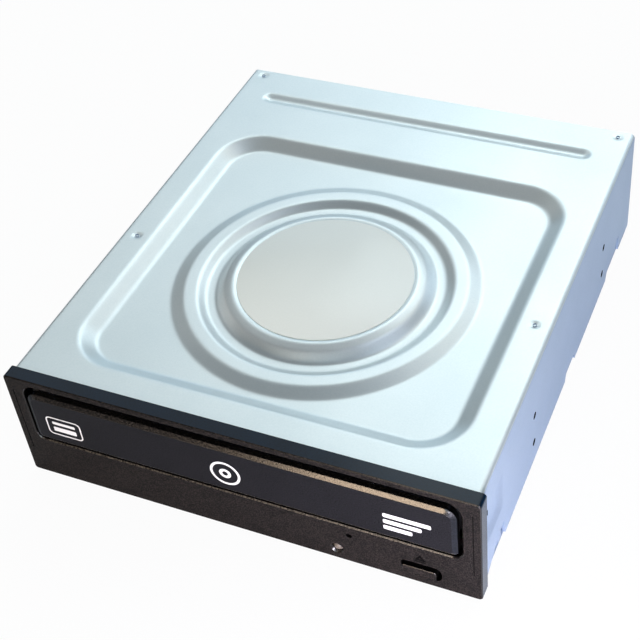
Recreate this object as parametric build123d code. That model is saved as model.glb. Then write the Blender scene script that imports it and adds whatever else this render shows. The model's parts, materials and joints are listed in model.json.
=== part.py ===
from build123d import *
import math
import os

# Half-height internal disc writer. Millimetres, +X to the right, +Y to the rear, +Z up.
# A depth is measured back from the front face of the bezel, and at() turns it into a row y.

# Outside sizes
body_width = 146.0
bezel_width = body_width + 2.0
bezel_height = 42.0
bezel_depth = 4.5
body_height = bezel_height - 0.7
body_length = 165.0
door_proud = 0.9
sheet = 0.8                      # steel covers
front_y = (door_proud - bezel_depth - body_length) / 2
body_bottom = (bezel_height - body_height) / 2
body_top = body_bottom + body_height
body_rear = bezel_depth + body_length
half_body = body_width / 2
floor_in = body_bottom + sheet   # inside face of the bottom cover
wall_in = half_body - sheet      # inside face of the top cover's sides

# Standard fixing holes of the bay
hole_first = bezel_depth + 47.4
hole_pitch = 79.25
side_hole_low = body_bottom + 9.65
side_hole_rise = 11.8
bottom_hole_span = body_width - 6.3
fixing_hole_r = 1.25
side_collar_r = 2.4
side_collar_depth = 1.4
bottom_collar_r = 2.1
bottom_collar_height = 1.6

# Disc and spindle
spindle_depth = 69.0
disc_r = 60.0
small_disc_r = 40.0

# Tray door and its opening
door_half = half_body - 5.8
door_low = 17.9
door_high = 37.15
door_bevel = 1.45
door_bevel_depth = 0.8
door_thick = 2.6
opening_half = half_body - 4.55
opening_low = 16.5
opening_high = 39.6
opening_round_high = 5.0
opening_round_low = 3.0
opening_chamfer = 0.35
bezel_wall = 2.2
bezel_rim = 1.5
bezel_round = 1.2
bezel_edge = 0.3

# Front controls. The button's opening is close at the left and below, wide above and at the right.
button_left = half_body - 22.9
button_right = button_left + 10.3
button_low = 3.3
button_high = 6.6
button_round = 0.6
button_proud = 0.2
button_travel = 0.8
button_hole_left = button_left - 0.15
button_hole_right = button_right + 1.7
button_hole_low = button_low - 0.3
button_hole_high = button_high + 2.2
button_hole_round = 2.3
switch_x = (button_left + button_right) / 2
lamp_x = half_body - 42.9
lamp_z = 4.7
lamp_r = 1.4
lamp_dish_r = 2.1
lamp_dish_deep = 0.7
pinhole_x = lamp_x + 4.3
pinhole_z = 12.3
pinhole_w = 1.9
pinhole_h = 1.5

# Heights of the works
tray_under = 25.8
tray_floor = 28.6
tray_small_floor = 27.4
tray_deck = 31.6
tray_rim = 32.2
tray_skirt_low = 19.0
tray_front = 4.4
tray_rear = body_rear - 11.5
tray_half = half_body - 7.8
tray_travel = 135.0
rail_out = 1.3
rail_low = 20.5
rail_high = 23.0
rail_gap = 0.3
disc_plane = 30.0
bridge_low = 33.0
bridge_sheet = 1.2
deck_low = 3.0
deck_top = 5.0

# Loader frame, outside the tray's rails
frame_in = tray_half + rail_out + 0.4
frame_out = frame_in + 2.5
frame_front = bezel_depth + 0.5
frame_rear = body_rear - 8.5
frame_open_half = frame_in - 14.9
frame_open_front = 44.3
frame_open_rear = body_rear - 12.5
frame_low = floor_in + 0.2
pivot_pin_r = 2.0

# Traverse, drawn level and then lowered about its pivot
pivot_depth = body_rear - 21.5
pivot_z = 13.7
lowered_deg = 4.8
lifter_half = frame_open_half - 5.0
lifter_front = 46.0
lifter_rear = pivot_depth + 4.0
lifter_low = 11.2
lifter_high = 16.2
plate_low = 17.0
plate_sheet = 1.2
rod_r = 1.5
rod_x = 24.0
rod_z = 20.5
screw_x = 36.0
pickup_home = 93.5
pickup_travel = 34.0
pin_x = 18.0
pin_z = 20.0
pin_depth = 41.5
pin_r = 1.5

# Gear train
rack_module = 1.0
rack_pitch_x = 12.2 - tray_half
drive_teeth = 16
drive_x = rack_pitch_x + rack_module * drive_teeth / 2
drive_depth = 20.0
wheel_module = 0.8
drive_wheel_teeth = 28
idler_pinion_teeth = 12
idler_wheel_teeth = 30
pulley_pinion_teeth = 12
idler_turn = 12.6                # direction of each centre from the last, degrees
pulley_turn = -8.6
motor_x = drive_x + 57.0
motor_depth = 24.0
motor_r = 12.0
pulley_r = 11.0
motor_pulley_r = 3.0
belt_z = 15.2
belt_thick = 1.2
post_r = 1.6
running_gap = 0.08
backlash = 0.16
cam_travel = 22.0
cam_wall_front = 40.0
cam_wall_back = 43.0

parts = {}


def at(depth):
    return front_y + depth


def block(x0, x1, d0, d1, z0, z1):
    size = Box(x1 - x0, d1 - d0, z1 - z0)
    return Pos((x0 + x1) / 2, at((d0 + d1) / 2), (z0 + z1) / 2) * size


def slab(outline, z0, z1):
    return extrude(Pos(0, 0, z0) * outline, z1 - z0)


def rounded(x0, x1, d0, d1, r):
    return Pos((x0 + x1) / 2, at((d0 + d1) / 2)) * RectangleRounded(x1 - x0, d1 - d0, r)


def post(x, depth, r, z0, z1):
    return Pos(x, at(depth), (z0 + z1) / 2) * Cylinder(r, z1 - z0)


def bar_y(x, z, r, d0, d1):
    return Pos(x, at((d0 + d1) / 2), z) * Rot(90, 0, 0) * Cylinder(r, d1 - d0)


def bar_x(depth, z, r, x0, x1):
    return Pos((x0 + x1) / 2, at(depth), z) * Rot(0, 90, 0) * Cylinder(r, x1 - x0)


def mirrored(solid):
    return solid + mirror(solid, about=Plane.YZ)


def upright(outline, d0, d1):
    # A profile drawn in x and z, pushed back from depth d0 to depth d1
    plane = Plane(origin=(0, at(d0), 0), x_dir=(1, 0, 0), z_dir=(0, -1, 0))
    return extrude(plane * outline, -(d1 - d0))


def turned(profile, x, depth):
    # A half section drawn as (radius, z), turned about a vertical axis
    face = make_face(Plane.XZ * Polyline(profile, close=True))
    return Pos(x, at(depth), 0) * revolve(face, Axis.Z)


def lowered(solid):
    # The traverse rests tipped forward about its rear pivot
    pivot = Axis((0, at(pivot_depth), pivot_z), (1, 0, 0))
    return solid.rotate(pivot, lowered_deg)


def gear_outline(teeth, module, first_deg):
    # Involute flanks through the root, pitch and tip circles, one tooth centred on first_deg
    pitch_r = module * teeth / 2
    base_r = pitch_r * math.cos(math.radians(20))
    half_at_pitch = (math.pi * module / 2 - backlash / 2) / (2 * pitch_r)
    involute_20 = math.tan(math.radians(20)) - math.radians(20)

    def half_angle(r):
        lean = math.acos(min(1.0, base_r / r))
        return half_at_pitch + involute_20 - (math.tan(lean) - lean)

    radii = [pitch_r - 1.25 * module, pitch_r, pitch_r + module]
    points = []
    for tooth in range(teeth):
        middle = math.radians(first_deg) + 2 * math.pi * tooth / teeth
        for r in radii:
            points.append((r * math.cos(middle - half_angle(r)), r * math.sin(middle - half_angle(r))))
        for r in reversed(radii):
            points.append((r * math.cos(middle + half_angle(r)), r * math.sin(middle + half_angle(r))))
    return make_face(Polyline(points, close=True))


def rack_points(start, count, line, side):
    # Straight 20 degree teeth on a line; start is the centre of the first tooth
    pitch = math.pi * rack_module
    half = pitch / 4 - backlash / 4
    lean = math.tan(math.radians(20))
    tip = side * rack_module
    root = -side * 1.25 * rack_module
    points = []
    for tooth in range(count):
        middle = start + tooth * pitch
        points.append((line + root, middle - half - 1.25 * rack_module * lean))
        points.append((line + tip, middle - half + rack_module * lean))
        points.append((line + tip, middle + half - rack_module * lean))
        points.append((line + root, middle + half + 1.25 * rack_module * lean))
    return points


# Pressed steel covers
pocket_half = half_body - 10.4
pocket_front = 13.0
pocket_rear = body_rear - 37.5
pocket_round = 16.0
pocket_deep = 3.25
pocket_slope = 4.8
ring_foot_r = 48.7
ring_out_r = 44.5
ring_in_r = 40.3
trough_out_r = 37.6
trough_in_r = 34.6
boss_shoulder_r = 31.4
boss_flat_r = 29.0
ring_rise = 1.8
boss_shoulder_drop = 0.5
top_bend = 1.6
recess_front = bezel_depth - 1.0
recess_rear = 21.0
recess_low = 16.3
recess_high = 31.0
recess_deep = 1.2
bead_half = half_body - 11.5
bead_middle = body_rear - 15.7
bead_width = 5.4
bead_deep = 1.1
cover_low = 1.3
rear_split = 30.0
disc_thick = 0.3
cover_disc_r = 27.8


def cover_form(inset):
    # The outer faces of the top cover, moved inward by inset, as one solid
    half = half_body - inset
    top = body_top - inset
    rear = body_rear - inset
    length = rear - bezel_depth + inset * 2
    section = Rectangle(half * 2, top + inset * 2)
    form = upright(Pos(0, (top - inset * 2) / 2) * section, rear - length, rear)
    edges = form.edges().filter_by(Axis.Y).sort_by(Axis.Z)[-2:]
    form = fillet(edges, top_bend - inset)
    rim = rounded(-pocket_half, pocket_half, pocket_front, pocket_rear, pocket_round)
    floor = rounded(-pocket_half + pocket_slope, pocket_half - pocket_slope, pocket_front + pocket_slope,
                    pocket_rear - pocket_slope, pocket_round - pocket_slope)
    pocket = loft([Pos(0, 0, top) * rim, Pos(0, 0, top - pocket_deep) * floor], ruled=True)
    foot = top - pocket_deep
    step = foot + ring_rise
    ring = turned([(0, foot - 1), (ring_foot_r, foot - 1), (ring_foot_r, foot), (ring_out_r, step),
                   (ring_in_r, step), (trough_out_r, foot), (trough_in_r, foot),
                   (boss_shoulder_r, top - boss_shoulder_drop), (boss_flat_r, top), (0, top)], 0, spindle_depth)
    form = form - pocket + ring
    bead = SlotOverall(bead_half * 2, bead_width)
    bead_floor = SlotOverall(bead_half * 2 - bead_deep * 2, bead_width - bead_deep * 2)
    form = form - loft([Pos(0, at(bead_middle), top) * bead,
                        Pos(0, at(bead_middle), top - bead_deep) * bead_floor], ruled=True)
    # shallow field pressed into each side behind the bezel
    long = recess_rear - recess_front
    tall = recess_high - recess_low
    middle = (recess_low + recess_high) / 2
    mouth = Pos(at(recess_front + long / 2), middle) * Rectangle(long, tall)
    bed = Pos(at(recess_front + long / 2 - recess_deep), middle) * Rectangle(
        long - recess_deep * 2, tall - recess_deep * 3)
    outer = Plane(origin=(half, 0, 0), x_dir=(0, 1, 0), z_dir=(1, 0, 0))
    inner = Plane(origin=(half - recess_deep, 0, 0), x_dir=(0, 1, 0), z_dir=(1, 0, 0))
    return form - mirrored(loft([outer * mouth, inner * bed], ruled=True))


def side_trim():
    # What is cut from the lower edge of a side: front slope, hook notch, shallow notch, rear step
    points = [(bezel_depth - 1, -1), (bezel_depth - 1, cover_low), (7.7, 1.9), (18.4, 8.1), (22.6, 8.1),
              (23.7, cover_low), (86.5, cover_low), (88.0, 4.4), (96.5, 4.4), (98.0, cover_low),
              (body_rear - 32.0, cover_low), (body_rear - 29.5, 6.2), (body_rear - 18.7, 6.2),
              (body_rear - 17.5, 8.0), (body_rear - 14.9, 8.0), (body_rear - 14.5, cover_low),
              (body_rear + 1, cover_low), (body_rear + 1, -1)]
    outline = make_face(Polyline([(at(d), z) for d, z in points], close=True))
    plane = Plane(origin=(-half_body - 1, 0, 0), x_dir=(0, 1, 0), z_dir=(1, 0, 0))
    return extrude(plane * outline, body_width + 2)


def fixing_rows():
    depths = (hole_first, hole_first + hole_pitch)
    heights = (side_hole_low, side_hole_low + side_hole_rise)
    return [(depth, z) for depth in depths for z in heights]


hook_low = 26.6
hook_high = 30.6
hook_front = 9.2
hook_rear = 12.4
hook_gap = 0.3
top_pip_r = 0.6


def make_top_cover():
    cover = cover_form(0) - cover_form(sheet)
    cover = cover - block(-half_body, half_body, bezel_depth - 5, bezel_depth, 0, bezel_height)
    cover = cover - side_trim()
    cover = cover - block(-wall_in, wall_in, body_rear - 2, body_rear + 1, -1, rear_split)
    for depth, z in fixing_rows():
        collar = bar_x(depth, z, side_collar_r, wall_in - side_collar_depth, wall_in)
        cover = cover + mirrored(collar)
        cover = cover - bar_x(depth, z, fixing_hole_r, -half_body - 1, half_body + 1)
    window = block(wall_in - 2, half_body + 1, hook_front - hook_gap, hook_rear + hook_gap,
                   hook_low - hook_gap, hook_high + hook_gap)
    cover = cover - mirrored(window)
    for x, depth in ((half_body - 5.2, body_rear - 3.0), (half_body - 5.5, spindle_depth)):
        cover = cover - mirrored(post(x, depth, top_pip_r, body_top - 2, body_top + 1))
    return cover


flange_high = 6.5
flange_out = wall_in - 0.05
case_screw_x = half_body - 14.0
case_screw_depths = (33.5, body_rear - 19.5)
dimple_r = 4.0
screw_head_r = 2.7
screw_head_thick = 0.6
board_front = body_rear - 70.5
board_rear = body_rear - 6.0
board_half = frame_open_half - 1.0
board_screw_x = board_half - 5.0
board_screw_spots = [(x, depth) for x in (-board_screw_x, board_screw_x)
                     for depth in (board_front + 5, board_rear - 5.5)]
board_low = 2.8
board_thick = 1.6
board_post_r = 3.0
floor_panel_half = 27.0
vent_pitch = 4.2
vent_width = 2.0
plug_mouth_high = 12.4


def make_bottom_cover():
    rear = body_rear
    cover = block(-flange_out, flange_out, bezel_depth + 0.1, rear, body_bottom, rear_split - 0.1)
    cover = cover - block(-flange_out + sheet, flange_out - sheet, 0, rear - sheet, floor_in, bezel_height)
    cover = cover - block(-half_body, half_body, 0, rear - sheet, flange_high, bezel_height)
    cover = cover - block(-half_body, half_body, 0, 24.5, floor_in, bezel_height)
    for depth in (19.0, 88.5, body_rear - 29.0):
        tab = block(flange_out - sheet, flange_out, depth, depth + 3.2, body_bottom, flange_high)
        cover = cover + mirrored(tab)
    for depth in case_screw_depths:
        for x in (-case_screw_x, case_screw_x):
            cover = cover + post(x, depth, dimple_r + sheet, floor_in - 0.2, floor_in + sheet)
            cover = cover - post(x, depth, dimple_r, body_bottom - 1, floor_in)
            cover = cover - post(x, depth, 1.6, body_bottom - 1, floor_in + sheet + 1)
    for depth in (hole_first, hole_first + hole_pitch):
        for x in (-bottom_hole_span / 2, bottom_hole_span / 2):
            collar_top = floor_in + bottom_collar_height
            cover = cover + post(x, depth, bottom_collar_r, body_bottom + 0.2, collar_top)
            cover = cover - post(x, depth, fixing_hole_r, body_bottom - 1, collar_top + 1)
    for x, depth in board_screw_spots:
        cover = cover + post(x, depth, board_post_r, floor_in - 0.2, board_low)
        cover = cover - post(x, depth, 1.1, body_bottom - 1, board_low + 1)
    # stiffening panel pressed into the floor
    half = floor_panel_half
    wide = rounded(-half, half, spindle_depth - 21, spindle_depth + 23, 8)
    narrow = rounded(-half + 1, half - 1, spindle_depth - 20, spindle_depth + 22, 7)
    press = loft([Pos(0, 0, body_bottom) * wide, Pos(0, 0, body_bottom + 0.7) * narrow], ruled=True)
    cover = cover + Pos(0, 0, sheet) * press - press
    # connector cut-out and cooling slots in the rear wall
    mouth_half = sata_half + 0.6
    mouth = block(sata_x - mouth_half, sata_x + mouth_half, rear - 2, rear + 1, floor_in, plug_mouth_high)
    cover = cover - mouth
    for i in range(8):
        x = 15 - half_body + i * vent_pitch
        cover = cover - block(x, x + vent_width, rear - 2, rear + 1, 14, 24)
    return cover


sata_x = 20.0
sata_half = 21.5

parts["top_cover"] = make_top_cover()
parts["bottom_cover"] = make_bottom_cover()
disc_face = body_top + disc_thick
parts["cover_disc"] = turned(
    [(0, body_top), (cover_disc_r, body_top), (cover_disc_r - 0.15, disc_face), (0, disc_face)],
    0, spindle_depth)


# Bezel and its controls
def door_outline(grow, round_high, round_low):
    half = door_half + grow
    low = door_low - grow
    high = door_high + grow
    outline = Pos(0, (low + high) / 2) * Rectangle(half * 2, high - low)
    corners = outline.vertices().sort_by(Axis.Y)
    outline = fillet(corners[2:], round_high)
    corners = outline.vertices().sort_by(Axis.Y)
    return fillet(corners[:2], round_low)


def opening_outline(grow):
    outline = Pos(0, (opening_low + opening_high) / 2) * Rectangle(
        (opening_half + grow) * 2, opening_high - opening_low + grow * 2)
    corners = outline.vertices().sort_by(Axis.Y)
    outline = fillet(corners[2:], opening_round_high + grow)
    corners = outline.vertices().sort_by(Axis.Y)
    return fillet(corners[:2], opening_round_low + grow)


def button_hole():
    left, right = button_hole_left, button_hole_right
    low, high = button_hole_low, button_hole_high
    outline = Pos((left + right) / 2, (low + high) / 2) * Rectangle(right - left, high - low)
    corners = outline.vertices().sort_by(Axis.X)
    outline = fillet(corners[2:], button_hole_round)
    corners = outline.vertices().sort_by(Axis.X)
    return fillet(corners[:2], button_round + 0.4)


def face_plane(depth):
    return Plane(origin=(0, at(depth), 0), x_dir=(1, 0, 0), z_dir=(0, -1, 0))


groove_x = half_body - 1.55
hook_arm_out = half_body - sheet - recess_deep - 0.2
hook_arm = 1.1


def make_bezel():
    outline = Pos(0, bezel_height / 2) * RectangleRounded(bezel_width, bezel_height, bezel_round)
    bezel = upright(outline, 0, bezel_depth)
    bezel = chamfer(bezel.faces().sort_by(Axis.Y)[0].edges(), bezel_edge)
    hollow = Pos(0, bezel_height / 2) * Rectangle(bezel_width - bezel_rim * 2, bezel_height - bezel_rim * 2)
    bezel = bezel - upright(hollow, bezel_wall, bezel_depth + 1)
    bezel = bezel - upright(opening_outline(0), -1, bezel_depth)
    bezel = bezel - loft([face_plane(0) * opening_outline(opening_chamfer),
                          face_plane(opening_chamfer) * opening_outline(0)], ruled=True)
    bezel = bezel - upright(button_hole(), -1, bezel_depth)
    bezel = bezel - bar_y(lamp_x, lamp_z, lamp_r + 0.1, -1, bezel_depth)
    cone = Cone(lamp_r + 0.1, lamp_dish_r, lamp_dish_deep)
    bezel = bezel - Pos(lamp_x, at(lamp_dish_deep / 2), lamp_z) * Rot(90, 0, 0) * cone
    pinhole = Pos(pinhole_x, pinhole_z) * SlotOverall(pinhole_w, pinhole_h)
    bezel = bezel - upright(pinhole, -1, bezel_depth)
    groove = block(groove_x, groove_x + 0.3, -1, 0.25, 11, 37)
    bezel = bezel - mirrored(groove)
    for x in (button_hole_left - 2.4, button_hole_right + 1.6):
        # walls behind the front that stiffen it round the button
        bezel = bezel + block(x, x + 0.8, bezel_wall, bezel_depth, bezel_rim, opening_low - 2)
    # snap hooks that reach back along both sides into the cover's windows
    arm = block(hook_arm_out - hook_arm, hook_arm_out, bezel_wall - 0.5, hook_rear, hook_low, hook_high)
    nib = extrude(Pos(0, 0, hook_low) * make_face(Polyline([
        (hook_arm_out - 0.2, at(hook_front)), (half_body - 0.4, at(hook_front)),
        (hook_arm_out - 0.2, at(hook_rear))], close=True)), hook_high - hook_low)
    bezel = bezel + mirrored(arm + nib)
    return bezel


parts["bezel"] = make_bezel()

door_back = door_thick - door_proud
door_round_high = opening_round_high - 1.3
door_round_low = opening_round_low - 1.2
clip_spots = (21.2 - tray_half, 0.0, tray_half - 21.2)
clip_half = 3.0
clip_low = 24.6
clip_high = 25.6


def make_door():
    rim_depth = door_bevel_depth - door_proud
    rim = door_outline(0, door_round_high, door_round_low)
    face = door_outline(-door_bevel, door_round_high - 1.3, 0.6)
    door = upright(rim, rim_depth, door_back)
    door = door + loft([face_plane(-door_proud) * face, face_plane(rim_depth) * rim], ruled=True)
    for x in clip_spots:
        # clips that snap through the tray's front wall
        left = x - clip_half
        right = x + clip_half
        door = door + block(left, right, door_back - 0.2, tray_front + 1.0, clip_low, clip_high)
        door = door + block(left, right, tray_front + 0.2, tray_front + 1.0, clip_low - 0.4, clip_high)
    return door


parts["tray_door"] = make_door()

button_back = bezel_wall + 0.5
button_lip = 0.9                 # the button's flange reaches this far past its opening
stem_end = 10.7
stem_low = 4.2
stem_high = 7.0


def make_button():
    width = button_right - button_left
    height = button_high - button_low
    face = RectangleRounded(width, height, button_round)
    face = Pos(button_left + width / 2, button_low + height / 2) * face
    button = upright(face, -button_proud, button_back + 0.1)
    button = fillet(button.faces().sort_by(Axis.Y)[0].edges(), 0.15)
    button = button + block(button_hole_left - button_lip, button_hole_right + button_lip, button_back,
                            button_back + 0.8, button_hole_low - button_lip, button_hole_high + button_lip)
    return button + block(switch_x - 2.5, switch_x + 2.5, button_back + 0.5, stem_end, stem_low, stem_high)


parts["eject_button"] = make_button()

pipe_front = 0.9
pipe_end = 10.2
lens_r = 1.6


def make_light_pipe():
    # A rod with a domed end that sits low in the bezel's dish
    dome = Pos(lamp_x, at(lens_r + 0.1), lamp_z) * Sphere(lens_r)
    dome = dome & bar_y(lamp_x, lamp_z, lamp_r, -1, pipe_front + 0.2)
    pipe = dome + bar_y(lamp_x, lamp_z, lamp_r, pipe_front + 0.1, pipe_end)
    return pipe + bar_y(lamp_x, lamp_z, lamp_r + 1.0, bezel_wall + 0.05, bezel_wall + 0.85)


parts["light_pipe"] = make_light_pipe()


# Tray with its disc beds, spindle slot, guide rails and rack
slot_front = 50.0
slot_rear = 135.5
slot_half = 15.0
spindle_hole_r = 19.0
clamper_lane = 18.0
rack_low = 21.4
rack_back = 3.0


def make_tray():
    outline = rounded(-tray_half, tray_half, tray_front, tray_rear, 2.5)
    tray = slab(outline, tray_skirt_low, tray_rim)
    tray = tray - slab(rounded(-tray_half + 2, tray_half - 2, tray_front + 2, tray_rear - 2, 1.5),
                       tray_skirt_low - 1, tray_under)
    skirt_in = tray_half - 2
    tray = tray - block(-skirt_in, skirt_in, tray_rear - 10, tray_rear + 5, tray_skirt_low - 1, tray_under)
    rim_in = tray_half - 1.4
    recess = rounded(-rim_in, rim_in, tray_front + 1.4, tray_rear + 6, 1.5)
    tray = tray - slab(recess, tray_deck, tray_rim + 1)
    tray = tray - post(0, spindle_depth, disc_r + 0.7, tray_floor, tray_rim + 1)
    tray = tray - post(0, spindle_depth, small_disc_r + 0.5, tray_small_floor, tray_rim + 1)
    tray = tray - block(-clamper_lane, clamper_lane, spindle_depth, tray_rear + 5, tray_floor, tray_rim + 1)
    hole = Pos(0, at(spindle_depth)) * Circle(spindle_hole_r)
    hole = hole + rounded(-slot_half, slot_half, spindle_depth, slot_rear, 4.0)
    tray = tray - slab(hole, 0, tray_rim + 1)
    # finger dip at the front of the disc bed
    dip = Pos(0, at(spindle_depth - disc_r - 0.7), tray_floor + 12.6) * Rot(0, 90, 0) * Cylinder(13.5, 26)
    tray = tray - (dip & block(-13, 13, tray_front + 1.4, 20, tray_floor - 1.0, tray_rim + 1))
    # front wall that carries the door
    wall_half = tray_half - 5.2
    wall = block(-wall_half, wall_half, door_back + 0.1, tray_front + 0.1, tray_skirt_low + 0.5, 34.0)
    link = block(-wall_half + 2, wall_half - 2, tray_front - 0.2, tray_front + 2, tray_under, tray_rim)
    tray = tray + wall + link
    for x in clip_spots:
        hole_half = clip_half + 0.2
        tray = tray - block(x - hole_half, x + hole_half, door_back - 1, tray_front + 2.2, 24.0, tray_under)
    # guide rails
    rail = block(tray_half - 0.5, tray_half + rail_out, 21, tray_rear - 1, rail_low, rail_high)
    tray = tray + mirrored(rail)
    # rack under the left side, in mesh with the drive gear
    pitch = math.pi * rack_module
    count = int((tray_travel + 6) / pitch) + 1
    start = at(drive_depth) - pitch
    teeth = rack_points(start, count, rack_pitch_x, 1)
    back_x = rack_pitch_x - 1.25 * rack_module - rack_back
    points = [(back_x, teeth[0][1])] + teeth + [(back_x, teeth[-1][1])]
    rack = slab(make_face(Polyline(points, close=True)), rack_low, tray_under + 0.2)
    return tray + rack


parts["tray"] = make_tray()

# Loading gears on their posts
drive_wheel_r = wheel_module * drive_wheel_teeth / 2
idler_pinion_r = wheel_module * idler_pinion_teeth / 2
idler_wheel_r = wheel_module * idler_wheel_teeth / 2
pulley_pinion_r = wheel_module * pulley_pinion_teeth / 2
idler_x = drive_x + (drive_wheel_r + idler_pinion_r) * math.cos(math.radians(idler_turn))
idler_depth = drive_depth + (drive_wheel_r + idler_pinion_r) * math.sin(math.radians(idler_turn))
pulley_x = idler_x + (idler_wheel_r + pulley_pinion_r) * math.cos(math.radians(pulley_turn))
pulley_depth = idler_depth + (idler_wheel_r + pulley_pinion_r) * math.sin(math.radians(pulley_turn))

# The rack has a tooth at the drive gear's own depth, so the gear has a gap facing it
drive_first = 180.0 + 180.0 / drive_teeth
wheel_first = idler_turn
idler_pinion_first = idler_turn + 180.0 + 180.0 / idler_pinion_teeth
idler_wheel_first = pulley_turn
pulley_first = pulley_turn + 180.0 + 180.0 / pulley_pinion_teeth


def gear_at(x, depth, teeth, module, first, z0, z1):
    return slab(Pos(x, at(depth)) * gear_outline(teeth, module, first), z0, z1)


gear_low = deck_top + 0.4
wheel_low = 6.0
wheel_high = 8.5
second_low = 10.0
second_high = 12.5
drive_pinion_low = 17.2
drive_top = 25.2

drive_gear = gear_at(drive_x, drive_depth, drive_wheel_teeth, wheel_module, wheel_first, wheel_low, wheel_high)
drive_gear = drive_gear + gear_at(drive_x, drive_depth, drive_teeth, rack_module, drive_first,
                                  drive_pinion_low, drive_top)
drive_gear = drive_gear + post(drive_x, drive_depth, 2.9, gear_low, drive_pinion_low + 0.5)
drive_gear = drive_gear - post(drive_x, drive_depth, post_r + running_gap, 0, 30)
parts["drive_gear"] = drive_gear

idler = gear_at(idler_x, idler_depth, idler_pinion_teeth, wheel_module, idler_pinion_first,
                wheel_low - 0.3, second_low + 0.1)
idler = idler + gear_at(idler_x, idler_depth, idler_wheel_teeth, wheel_module, idler_wheel_first,
                        second_low, second_high)
idler = idler + post(idler_x, idler_depth, 3.0, gear_low, second_high + 1.0)
web_floor = second_high - 0.8
idler = idler - turned(
    [(5.2, web_floor), (10.2, web_floor), (10.2, second_high + 1), (5.2, second_high + 1)], idler_x, idler_depth)
idler = idler - post(idler_x, idler_depth, post_r + running_gap, 0, 30)
parts["idler_gear"] = idler

pulley_low = 13.4
pulley_high = 17.0
pulley_gear = gear_at(pulley_x, pulley_depth, pulley_pinion_teeth, wheel_module, pulley_first,
                      second_low - 0.2, pulley_low + 0.1)
pulley_gear = pulley_gear + turned(
    [(0, pulley_low), (pulley_r + 1, pulley_low), (pulley_r + 1, belt_z - belt_thick / 2 - 0.5),
     (pulley_r, belt_z - belt_thick / 2 - 0.1), (pulley_r, belt_z + belt_thick / 2 + 0.1),
     (pulley_r + 1, belt_z + belt_thick / 2 + 0.5), (pulley_r + 1, pulley_high), (pulley_r - 1.5, pulley_high),
     (pulley_r - 1.5, pulley_low + 1.2), (3.4, pulley_low + 1.2), (3.4, pulley_high), (0, pulley_high)],
    pulley_x, pulley_depth)
pulley_gear = pulley_gear + post(pulley_x, pulley_depth, 2.8, gear_low, second_low + 0.5)
pulley_gear = pulley_gear - post(pulley_x, pulley_depth, post_r + running_gap, 0, 30)
parts["pulley_gear"] = pulley_gear

motor_low = 1.5
motor_high = 11.6
shaft_r = 0.75
motor_pulley = turned(
    [(shaft_r, pulley_low), (motor_pulley_r + 1, pulley_low), (motor_pulley_r + 1, belt_z - belt_thick / 2 - 0.5),
     (motor_pulley_r, belt_z - belt_thick / 2 - 0.1), (motor_pulley_r, belt_z + belt_thick / 2 + 0.1),
     (motor_pulley_r + 1, belt_z + belt_thick / 2 + 0.5), (motor_pulley_r + 1, pulley_high - 0.2),
     (shaft_r, pulley_high - 0.2)], motor_x, motor_depth)
motor_shaft = post(motor_x, motor_depth, shaft_r, motor_high + 0.3, pulley_high)
parts["motor_pulley"] = motor_pulley + motor_shaft

motor = post(motor_x, motor_depth, motor_r, motor_low, motor_high)
motor = fillet(motor.edges().filter_by(GeomType.CIRCLE), 0.6)
motor = motor + post(motor_x, motor_depth, 3.0, motor_high - 0.1, motor_high + 1.2)
motor = motor - post(motor_x, motor_depth, shaft_r + running_gap, motor_high - 2, motor_high + 2)
motor_front = motor_depth - motor_r
parts["loading_motor"] = motor + block(
    motor_x - 3.5, motor_x + 3.5, motor_front - 1.2, motor_front + 1, motor_low + 0.6, motor_low + 3)
motor_screw_x = (motor_x - 6.5, motor_x + 6.5)


def make_belt():
    # Square belt on the tangents of the two grooves
    span = math.hypot(motor_x - pulley_x, motor_depth - pulley_depth)
    aim = math.degrees(math.atan2(motor_depth - pulley_depth, motor_x - pulley_x))
    lean = math.degrees(math.asin((pulley_r - motor_pulley_r) / span))

    def loop(grow):
        big = Circle(pulley_r + grow)
        small = Pos(span, 0) * Circle(motor_pulley_r + grow)
        angle = math.radians(90 - lean)
        far = (span + (motor_pulley_r + grow) * math.cos(angle), (motor_pulley_r + grow) * math.sin(angle))
        near = ((pulley_r + grow) * math.cos(angle), (pulley_r + grow) * math.sin(angle))
        web = make_face(Polyline([near, far, (far[0], -far[1]), (near[0], -near[1])], close=True))
        return big + small + web

    ring = loop(0.05 + belt_thick) - loop(0.05)
    ring = Pos(pulley_x, at(pulley_depth)) * Rot(0, 0, aim) * ring
    return slab(ring, belt_z - belt_thick / 2, belt_z + belt_thick / 2)


parts["drive_belt"] = make_belt()

# Cam slider across the front of the traverse
lift_angle = math.radians(lowered_deg)
pin_reach = pivot_depth - pin_depth
pin_rise = pin_z - pivot_z
pin_low_z = pivot_z - pin_reach * math.sin(lift_angle) + pin_rise * math.cos(lift_angle)
cam_slot_gap = 0.3
cam_left = -40.0
cam_notch_right = -29.5            # the slider passes under the tray's rack up to here
cam_notch_low = 20.8
cam_right = 62.0
cam_low = 5.4
cam_high = 23.4
rack_arm_low = 17.5
rack_arm_high = 20.6
cam_rack_line = drive_depth + rack_module * drive_teeth / 2 + rack_module + 0.3 + rack_module


def cam_slot(x):
    # A straight ramp: the lifter's pin climbs it as the slider moves to the left
    rise = pin_z - pin_low_z
    run = cam_travel
    length = math.hypot(rise, run) + 0.4
    outline = SlotCenterToCenter(length, (pin_r + cam_slot_gap) * 2)
    outline = Rot(0, 0, math.degrees(math.atan2(rise, run))) * outline
    outline = Pos(x + run / 2, (pin_low_z + pin_z) / 2) * outline
    return upright(outline, cam_wall_front - 1, cam_wall_back + 1)


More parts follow.
